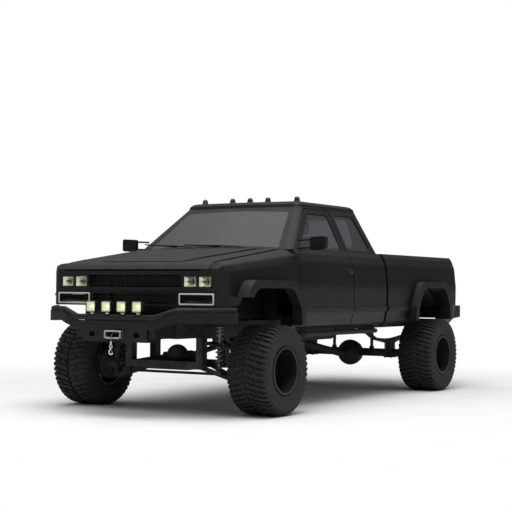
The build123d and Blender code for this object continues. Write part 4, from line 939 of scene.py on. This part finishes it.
def door_pull(build, sign):
    """A pull handle with its recessed plate and lock, on the door's outer face."""
    x, y, z = HANDLE_PLACE
    plate = facing((sign * x, y, z), (sign, 0, 0.12))
    levels = [(1.0, -0.006), (1.0, 0.002), (0.96, 0.0035)]
    panel(build, [(rounded(0.15 * k, 0.052 * k, 0.014), d) for k, d in levels], plate)
    grip = [(1.0, 0.0), (1.0, 0.012), (0.92, 0.0165)]
    lifted = plate @ Matrix.Translation((0.0, 0.006, 0.0))
    panel(build, [(rounded(0.118 * k, 0.026 * k, 0.01), d) for k, d in grip], lifted, finish=1)
    lock = plate @ Matrix.Translation((0.058, -0.014, 0.0))
    turned(build, [(0.008, 0.0), (0.008, 0.0045), (0.0035, 0.0055)], lock @ along((0, 0, 1)), 16, finish=2)


for side, sign in (("left", 1), ("right", -1)):
    pulls = bmesh.new()
    door_pull(pulls, sign)
    back = facing((sign * MIRROR_PLACE[0], *MIRROR_PLACE[1:]), (0, 1, 0))
    levels = [(1.0, 0.0), (1.0, 0.002), (0.96, 0.003)]
    panel(pulls, [(rounded(0.15 * k, 0.112 * k, 0.016), d) for k, d in levels], back, finish=2)
    finishes = ["body_paint", "trim_plastic", "bare_steel"]
    piece(f"door_trim_{side}", pulls, finishes, f"door_{side}")


def wiper(build, foot, tip):
    """A wiper arm with its blade, lying on the windshield."""
    foot, tip = Vector(foot), Vector(tip)
    lift = Vector((0, -0.018, 0.02))
    arm = [foot, foot.lerp(tip, 0.1) + lift, foot.lerp(tip, 0.55) + lift * 0.9, tip + lift * 0.5]
    tube(build, arm, 0.0055, 8)
    turned(build, [(0.016, 0.0), (0.016, 0.012), (0.01, 0.018)], along((0, -0.6, 0.8), foot), 16)
    blade = (tip - foot).normalized()
    run = [tip - blade * 0.24, tip + blade * 0.2]
    tube(build, [run[0] + lift * 0.35, tip + lift * 0.45, run[1] + lift * 0.35], 0.0065, 8)


wipers = bmesh.new()
COWL = station(0.492)
COWL_SLOTS, SLOT_PITCH = 26, 0.048
wiper(wipers, (0.42, COWL, 1.535), (-0.1, COWL + 0.03, 1.563))
wiper(wipers, (-0.16, COWL, 1.535), (-0.62, COWL + 0.06, 1.568))
for i in range(COWL_SLOTS):
    x = -0.6 + i * SLOT_PITCH
    block(wipers, (x, station(0.458), 1.5235), (x + 0.03, station(0.486), 1.5275), 0.001)
piece("wipers", wipers, ["trim_plastic"], "chassis")
print("trim on both doors, wipers and roof lamps")

# %% [markdown]
# ## Windshield pane
# The CAD cab is closed where the windshield belongs, so an opaque pane with its black border
# is laid 3 mm over the shell's own slope. Its near-black colour is painted shade that stands in for the
# dim cab behind the glass. It reflects like glass from outside, but it can't be seen through.

# %% Windshield
SHIELD_FOOT = Vector((0, station(0.505), 1.528))
SHIELD_HEAD = Vector((0, station(1.075), 1.972))
SHIELD_UP = (SHIELD_HEAD - SHIELD_FOOT).normalized()
SHIELD_OUT = Vector((1, 0, 0)).cross(SHIELD_UP)
SHIELD_LOW, SHIELD_TOP = 0.05, (SHIELD_HEAD - SHIELD_FOOT).length - 0.025
SHIELD_HALF_FOOT, SHIELD_HALF_HEAD = 0.805, 0.628
SHIELD_COLUMNS, SHIELD_ROWS = 36, 20
SHIELD_LIFT = 0.003


def shield_point(shell, across, rise):
    """A point over the cab's slope, at shares of the pane's width and height."""
    half = SHIELD_HALF_FOOT + (SHIELD_HALF_HEAD - SHIELD_HALF_FOOT) * rise
    flat = SHIELD_FOOT + SHIELD_UP * (SHIELD_LOW + (SHIELD_TOP - SHIELD_LOW) * rise)
    flat.x = half * (2 * across - 1)
    into = shell.matrix_world.inverted()
    hit, spot = shell.ray_cast(into @ (flat + SHIELD_OUT * 0.2), into.to_3x3() @ -SHIELD_OUT)[:2]
    return (shell.matrix_world @ spot if hit else flat) + SHIELD_OUT * SHIELD_LIFT


def windshield_pane(build):
    """A grid of faces over the slope, with a border of black and a turned-down edge."""
    shell = bpy.data.objects["cab_shell"]
    rows = []
    for j in range(SHIELD_ROWS + 1):
        points = [shield_point(shell, i / SHIELD_COLUMNS, j / SHIELD_ROWS) for i in range(SHIELD_COLUMNS + 1)]
        rows.append([build.verts.new(point) for point in points])
    for j in range(SHIELD_ROWS):
        for i in range(SHIELD_COLUMNS):
            face = build.faces.new((rows[j][i], rows[j][i + 1], rows[j + 1][i + 1], rows[j + 1][i]))
            border = i in (0, SHIELD_COLUMNS - 1) or j in (0, SHIELD_ROWS - 1)
            face.material_index = 1 if border else 0
    edge = [e for e in build.edges if e.is_boundary]
    skirt = bmesh.ops.extrude_edge_only(build, edges=edge)
    for vert in (item for item in skirt["geom"] if isinstance(item, bmesh.types.BMVert)):
        vert.co -= SHIELD_OUT * SHIELD_LIFT
    for face in (item for item in skirt["geom"] if isinstance(item, bmesh.types.BMFace)):
        face.material_index = 1


shield = bmesh.new()
windshield_pane(shield)
piece("windshield_pane", shield, ["shield_glass_painted_shade", "trim_plastic"], "chassis")
print("windshield height:", round(SHIELD_TOP - SHIELD_LOW, 3))

# %% [markdown]
# ## Coil-overs and rear shocks
# The front springs hang open between the arms and the frame, so they have to be true helices that
# let the damper show through. The wire is a tube along a row of points, with closer turns at both ends.

# %% Springs and dampers
SHOCK_LOW, SHOCK_HIGH = (Vector(corner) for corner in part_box("shock_absorbers"))
COIL_X, COIL_Y = 0.52, station(-0.068)
COIL_TURNS = 7.5
COIL_RADIUS = 0.0345
COIL_WIRE = 0.0062
COIL_EASE = 0.03
RAIL_FACE_X = 0.4405


def coil_over(build, sign):
    """Spring, damper, perches and upper bracket of one front wheel."""
    x, y = sign * COIL_X, COIL_Y
    low, high = SHOCK_LOW.z, SHOCK_HIGH.z
    damper = [(0.019, 0.0), (0.022, 0.004), (0.022, 0.2), (0.019, 0.204)]
    turned(build, damper, along((0, 0, 1), (x, y, low)), 20, finish=1)
    bar(build, (x, y, low + 0.2), (x, y, high - 0.02), 0.0095, finish=2)
    for z in (low + 0.052, high - 0.026):
        perch = [(0.03, 0.0), (0.041, 0.002), (0.041, 0.006), (0.03, 0.008)]
        turned(build, perch, along((0, 0, 1), (x, y, z)), 28, finish=2)
    foot, head = low + 0.064, high - 0.03
    points = []
    steps = int(COIL_TURNS * 20)
    for i in range(steps + 1):
        share = i / steps
        rise = share - COIL_EASE * math.sin(2 * math.pi * share)
        angle = 2 * math.pi * COIL_TURNS * share
        z = foot + (head - foot) * rise
        points.append((x + COIL_RADIUS * math.cos(angle), y + COIL_RADIUS * math.sin(angle), z))
    tube(build, points, COIL_WIRE, 8)
    near, far = sorted((sign * RAIL_FACE_X, x + sign * 0.044))
    block(build, (near, y - 0.043, high - 0.021), (far, y + 0.043, high), 0.003, finish=3)


def rear_shock(build, sign):
    """Leaning rear damper with its dust sleeve and lower clevis."""
    x = sign * 0.25
    low = Vector((x, station(3.664), 0.47))
    high = Vector((x, station(3.675), 0.8))
    middle = low.lerp(high, 0.52)
    bar(build, low, middle, 0.019, finish=1)
    bar(build, middle, high, 0.0255, finish=3)
    block(build, (x - 0.022, station(3.642), 0.442), (x + 0.022, station(3.69), 0.478), 0.003, finish=3)
    bar(build, (x - 0.03, low.y, 0.466), (x + 0.03, low.y, 0.466), 0.008, 6, finish=2)


springs = bmesh.new()
for sign in (1, -1):
    coil_over(springs, sign)
    rear_shock(springs, sign)
piece("springs_and_dampers", springs, ["spring_paint", "aged_steel", "bare_steel", "chassis_paint"],
      "chassis", ["shock_absorbers"])
print("coil turns:", COIL_TURNS)

# %% [markdown]
# ## Spring packs, bolts and the differential cover
# The CAD leaf pack is one bent bar. U-bolts over it with their nuts and plate, and a ring of bolts on
# the axle's round cover, are what the eye expects there.

# %% Axle furniture
AXLE_Z = REAR_AXLE.z
LEAF_X = 0.52
COVER_Z = AXLE_Z - 0.01
COVER_BOLTS, COVER_CIRCLE = 12, 0.118


def u_bolt(build, x, y):
    """A U-bolt over the leaf pack, with two nuts under the spring plate."""
    width, top, low = 0.04, 0.576, AXLE_Z - 0.06
    path = [(x - width, y, low), (x - width, y, top - 0.012), (x - width + 0.012, y, top),
            (x + width - 0.012, y, top), (x + width, y, top - 0.012), (x + width, y, low)]
    tube(build, path, 0.0065, 8, finish=1)
    for side in (-1, 1):
        bar(build, (x + side * width, y, low + 0.006), (x + side * width, y, low + 0.02), 0.011, 6, finish=1)


axle = bmesh.new()
for sign in (1, -1):
    for shift in (-0.05, 0.05):
        u_bolt(axle, sign * LEAF_X, REAR_AXLE.y + shift)
    block(axle, (sign * LEAF_X - 0.05, REAR_AXLE.y - 0.068, AXLE_Z - 0.052),
          (sign * LEAF_X + 0.05, REAR_AXLE.y + 0.068, AXLE_Z - 0.044), 0.002)
bolt = [(0.0115, 0.0), (0.0115, 0.012), (0.009, 0.014)]
for u, v in circle(COVER_BOLTS, COVER_CIRCLE, 0.5):
    turned(axle, bolt, along((0, 1, 0), (u, REAR_AXLE.y + 0.088, COVER_Z + v)), 6, finish=1)
ring = [(0.106, 0.0), (0.13, 0.0), (0.131, 0.006), (0.106, 0.007)]
turned(axle, ring, along((0, 1, 0), (0, REAR_AXLE.y + 0.083, COVER_Z)), 48, wrap=True)
piece("axle_hardware", axle, ["chassis_paint", "aged_steel"], "chassis")
print("axle hardware at", round(REAR_AXLE.y, 3))

# %% [markdown]
# ## Winch
# The rope drum is wound with turns of rope that lie side by side. The gear and motor housings are
# turned, the fairlead has four polished rollers, and the hook is bright.

# %% Winch pieces
DRUM_Y, DRUM_Z = station(-0.88), 0.742
FAIRLEAD_Y = station(-0.9853)
HOOK_Y = station(-1.0253)
ROPE_Z = 0.734
ROPE_RADIUS = 0.004
ROPE_LAY, ROPE_HALF = 0.0385, 0.138
ROPE_TURNS, STEPS_A_TURN = 34, 14


def winch_drum(build):
    """Drum, rope turns, end housings and tie bars."""
    bar(build, (-0.155, DRUM_Y, DRUM_Z), (0.155, DRUM_Y, DRUM_Z), 0.036, 28, finish=1)
    steps = ROPE_TURNS * STEPS_A_TURN
    points = []
    for i in range(steps + 1):
        angle = 2 * math.pi * i / STEPS_A_TURN
        x = -ROPE_HALF + 2 * ROPE_HALF * i / steps
        points.append((x, DRUM_Y - ROPE_LAY * math.cos(angle), DRUM_Z + ROPE_LAY * math.sin(angle)))
    tube(build, points, ROPE_RADIUS, 6, finish=2)
    for sign in (1, -1):
        case = [(0.05, 0.0), (0.054, 0.004), (0.054, 0.03), (0.047, 0.036), (0.047, 0.072), (0.038, 0.082)]
        turned(build, case, along((sign, 0, 0), (sign * 0.151, DRUM_Y, DRUM_Z)), 32)
        near, far = sorted((sign * 0.155, sign * 0.23))
        block(build, (near, DRUM_Y - 0.045, 0.6815), (far, DRUM_Y + 0.045, 0.695))
    for y, z in ((DRUM_Y - 0.03, 0.79), (DRUM_Y + 0.034, 0.79), (DRUM_Y + 0.036, 0.7)):
        bar(build, (-0.156, y, z), (0.156, y, z), 0.006, 12, finish=1)


def fairlead(build):
    """Frame with two upright and two lying rollers."""
    matrix = facing((0, FAIRLEAD_Y - 0.0002, ROPE_Z), (0, -1, 0))
    outer, inner = rounded(0.21, 0.072, 0.008), rounded(0.132, 0.044, 0.004)
    sections = [(outer, 0.0), (outer, 0.006), (inner, 0.008), (inner, 0.0)]
    panel(build, sections, matrix, wrap=True)
    roller_y = FAIRLEAD_Y - 0.02
    for x in (-0.084, 0.084):
        bar(build, (x, roller_y, 0.702), (x, roller_y, 0.766), 0.0098, 20, 0.003, finish=1)
    for z in (0.704, 0.764):
        bar(build, (-0.075, roller_y, z), (0.075, roller_y, z), 0.0088, 20, 0.003, finish=1)
        block(build, (-0.1, FAIRLEAD_Y - 0.022, z - 0.004), (0.1, FAIRLEAD_Y - 0.004, z + 0.004), 0.0015)


def hook_piece(build):
    """Rope end, ferrule, eye and open hook with its latch."""
    run = [(0, DRUM_Y - 0.038, ROPE_Z), (0, FAIRLEAD_Y, ROPE_Z), (0, HOOK_Y + 0.012, ROPE_Z),
           (0, HOOK_Y + 0.003, ROPE_Z - 0.005), (0, HOOK_Y, ROPE_Z - 0.014), (0, HOOK_Y, 0.662)]
    tube(build, run, ROPE_RADIUS, 10, finish=2)
    bar(build, (0, HOOK_Y, 0.642), (0, HOOK_Y, 0.668), 0.0088, 16, finish=3)
    eye = [(u, HOOK_Y, 0.63 + v) for u, v in circle(20, 0.014)]
    tube(build, eye, 0.0048, 8, True, 3)
    path = [(0.0, HOOK_Y, 0.618), (-0.01, HOOK_Y, 0.6), (-0.0195, HOOK_Y, 0.586)]
    for i in range(12):
        angle = math.radians(165 + i * 17)
        path.append((0.019 * math.cos(angle), HOOK_Y, 0.578 + 0.019 * math.sin(angle)))
    tube(build, path, 0.0064, 10, finish=3)
    bar(build, (-0.005, HOOK_Y, 0.604), (0.016, HOOK_Y, 0.589), 0.0022, 8, finish=3)


winch = bmesh.new()
winch_drum(winch)
fairlead(winch)
hook_piece(winch)
piece("winch_assembly", winch, ["aged_steel", "bare_steel", "rope_steel", "hook_chrome"],
      "chassis", ["winch"])

# %% [markdown]
# ## Seats
# The cushions start as slightly small rounded blocks and are blown up by a cloth simulation with
# gravity off, which crowns the middle and pulls the sides in between the corners, as stuffing does.
# The swelling is capped, so no cushion grows into its neighbour.

# %% Padded seats
CUSHION_FRAMES = 16
CUSHION_PRESSURE = 4.0
SWELL_CAP = 0.022
CUSHION_VOXEL = 0.014


def soft_block(name, size):
    """A closed rounded block, remeshed finely enough to swell."""
    build = bmesh.new()
    half = [s / 2 for s in size]
    block(build, (-half[0], -half[1], -half[2]), tuple(half), 0.03)
    mesh = bpy.data.meshes.new(name)
    bmesh.ops.recalc_face_normals(build, faces=build.faces)
    build.to_mesh(mesh)
    build.free()
    obj = added(name, mesh)
    remesh = obj.modifiers.new("remesh", "REMESH")
    remesh.mode = "VOXEL"
    remesh.voxel_size = CUSHION_VOXEL
    apply_modifiers(obj)
    return obj


def apply_modifiers(obj):
    """Bakes an object's modifiers into its mesh."""
    graph = bpy.context.evaluated_depsgraph_get()
    baked = bpy.data.meshes.new_from_object(obj.evaluated_get(graph))
    obj.modifiers.clear()
    obj.data = baked


def swell(obj):
    """Blows a block up with cloth pressure, caps the movement and shades it smooth."""
    before = [vert.co.copy() for vert in obj.data.vertices]
    cloth = obj.modifiers.new("cloth", "CLOTH")
    cloth.settings.use_pressure = True
    cloth.settings.uniform_pressure_force = CUSHION_PRESSURE
    cloth.settings.effector_weights.gravity = 0.0
    cloth.point_cache.frame_end = CUSHION_FRAMES
    for number in range(1, CUSHION_FRAMES + 1):
        bpy.context.scene.frame_set(number)
    apply_modifiers(obj)
    bpy.context.scene.frame_set(1)
    for vert, start in zip(obj.data.vertices, before):
        shift = vert.co - start
        if shift.length > SWELL_CAP:
            vert.co = start + shift.normalized() * SWELL_CAP
    obj.data.shade_smooth()


def finished_cushion(name, mesh, matrix, replaced=()):
    """Places a swollen cushion in the cab."""
    obj = added(name, mesh, matrix)
    if not obj.data.materials:
        obj.data.materials.append(FINISH["seat_cloth"])
    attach(obj, "chassis")
    if replaced:
        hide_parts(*replaced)
    return obj


def seat_matrix(x, y, z, lean=0.0):
    """Place and backward lean of a cushion."""
    return Matrix.Translation((x, y, z)) @ Matrix.Rotation(math.radians(lean), 4, "X")


SEAT_X = 0.39
CUSHIONS = {
    "seat_base": ((0.43, 0.43, 0.16), [(s * SEAT_X, station(1.25), 1.083, 2.0) for s in (1, -1)]),
    "seat_back": ((0.41, 0.085, 0.56), [(s * SEAT_X, station(1.572), 1.43, -16.0) for s in (1, -1)]),
    "head_rest": ((0.2, 0.055, 0.13), [(s * SEAT_X, station(1.662), 1.79, -6.0) for s in (1, -1)]),
    "bench_base": ((1.33, 0.24, 0.2), [(0.0, station(2.09), 1.1, 2.0)]),
    "bench_back": ((1.33, 0.075, 0.38), [(0.0, station(2.275), 1.42, -2.0)]),
}
cushion_count = 0
for name, (size, places) in CUSHIONS.items():
    shaped = soft_block(name, size)
    swell(shaped)
    mesh = shaped.data
    bpy.data.objects.remove(shaped)
    for index, (x, y, z, lean) in enumerate(places):
        stands_for = ["seats"] if name == "seat_base" and index == 0 else []
        finished_cushion(f"{name}_{index + 1}", mesh, seat_matrix(x, y, z, lean), stands_for)
        cushion_count += 1

frames = bmesh.new()
for sign in (1, -1):
    x = sign * SEAT_X
    block(frames, (x - 0.19, station(1.06), 0.897), (x + 0.19, station(1.48), 0.985), 0.01)
    for post in (-0.05, 0.05):
        bar(frames, (x + post, station(1.645), 1.66), (x + post, station(1.66), 1.76), 0.006, finish=1)
block(frames, (-0.66, station(1.97), 0.897), (0.66, station(2.22), 0.99), 0.01)
block(frames, (-0.66, station(2.25), 0.99), (0.66, station(2.34), 1.25), 0.01)
piece("seat_frames", frames, ["trim_plastic", "bare_steel"], "chassis")
print("cushions:", cushion_count)

# %% [markdown]
# ## Floor and light
# The truck stands on a pale studio floor. Camera rays, and rays that have passed through glass, see a
# clean white world. The paint is lit by a gradient that is bright overhead and dim at the horizon,
# which gives a matte body its grey top and dark sides. One large soft lamp adds a shadow under the
# truck, and the floor fades to white with distance.

# %% Floor
FLOOR_RADIUS = 40.0


def pale_floor():
    """A round floor under the tyres."""
    mesh = bpy.data.meshes.new("floor")
    build = bmesh.new()
    bmesh.ops.create_circle(build, cap_ends=True, segments=96, radius=FLOOR_RADIUS)
    build.to_mesh(mesh)
    build.free()
    floor = added("floor", mesh)
    return floor


def floor_finish():
    """Pale concrete that is nearly white, and fades into the background with distance."""
    material, tree, shader = start_material("studio_floor")
    place = place_of(tree)
    tone = ramp(tree, noise(tree, place, 1.5, 8.0), [(0.3, 0.80), (0.7, 0.86)])
    join(tree, tone, shader.inputs["Base Color"])
    set_inputs(shader, {"Roughness": 0.9, "Specular IOR Level": 0.1})
    reach = add_node(tree, "ShaderNodeVectorMath", operation="LENGTH")
    join(tree, place, reach.inputs[0])
    fade = ramp(tree, maths(tree, "DIVIDE", reach.outputs["Value"], 10.0), [(0.28, 0.0), (0.62, 1.0)])
    white = add_node(tree, "ShaderNodeEmission", values={"Color": grey(1.0), "Strength": 1.0})
    clear = add_node(tree, "ShaderNodeMixShader")
    join(tree, maths(tree, "MULTIPLY", fade, camera_ray(tree)), clear.inputs[0])
    join(tree, shader.outputs[0], clear.inputs[1])
    join(tree, white.outputs[0], clear.inputs[2])
    join(tree, clear.outputs[0], tree.nodes["Material Output"].inputs["Surface"])
    return material


def camera_ray(tree):
    """1 for what the camera sees directly."""
    return add_node(tree, "ShaderNodeLightPath").outputs["Is Camera Ray"]


floor = pale_floor()
floor.data.materials.append(floor_finish())
print("floor radius:", FLOOR_RADIUS)

# %% Light
SKY_STRENGTH = 0.75


def studio_world():
    """White to the camera, and a sky gradient to everything that it lights."""
    world = bpy.data.worlds.new("studio")
    world.use_nodes = True
    tree = world.node_tree
    direction = add_node(tree, "ShaderNodeTexCoord").outputs["Generated"]
    height = add_node(tree, "ShaderNodeSeparateXYZ")
    join(tree, direction, height.inputs[0])
    sky = ramp(tree, height.outputs["Z"], [(0.0, 0.05), (0.3, 0.2), (0.7, 0.9), (1.0, 2.2)])
    glow = tree.nodes["Background"]
    join(tree, sky, glow.inputs["Color"])
    glow.inputs["Strength"].default_value = SKY_STRENGTH
    plain = add_node(tree, "ShaderNodeBackground", values={"Color": grey(1.0), "Strength": 1.0})
    choice = add_node(tree, "ShaderNodeMixShader")
    seen = add_node(tree, "ShaderNodeLightPath")
    white_to = [seen.outputs["Is Camera Ray"], seen.outputs["Is Transmission Ray"]]
    join(tree, maths(tree, "MAXIMUM", *white_to), choice.inputs[0])
    join(tree, glow.outputs[0], choice.inputs[1])
    join(tree, plain.outputs[0], choice.inputs[2])
    join(tree, choice.outputs[0], tree.nodes["World Output"].inputs["Surface"])
    bpy.context.scene.world = world


def soft_lamp(name, place, target, size, power):
    """A large square lamp that points at a target."""
    data = bpy.data.lights.new(name, "AREA")
    data.shape = "SQUARE"
    data.size = size
    data.energy = power
    lamp = added(name, data)
    lamp.location = place
    lamp.rotation_euler = (Vector(target) - Vector(place)).to_track_quat("-Z", "Y").to_euler()


studio_world()
soft_lamp("key", (1.5, -3.5, 8.5), (0, 0, 1.0), 5.0, 420.0)
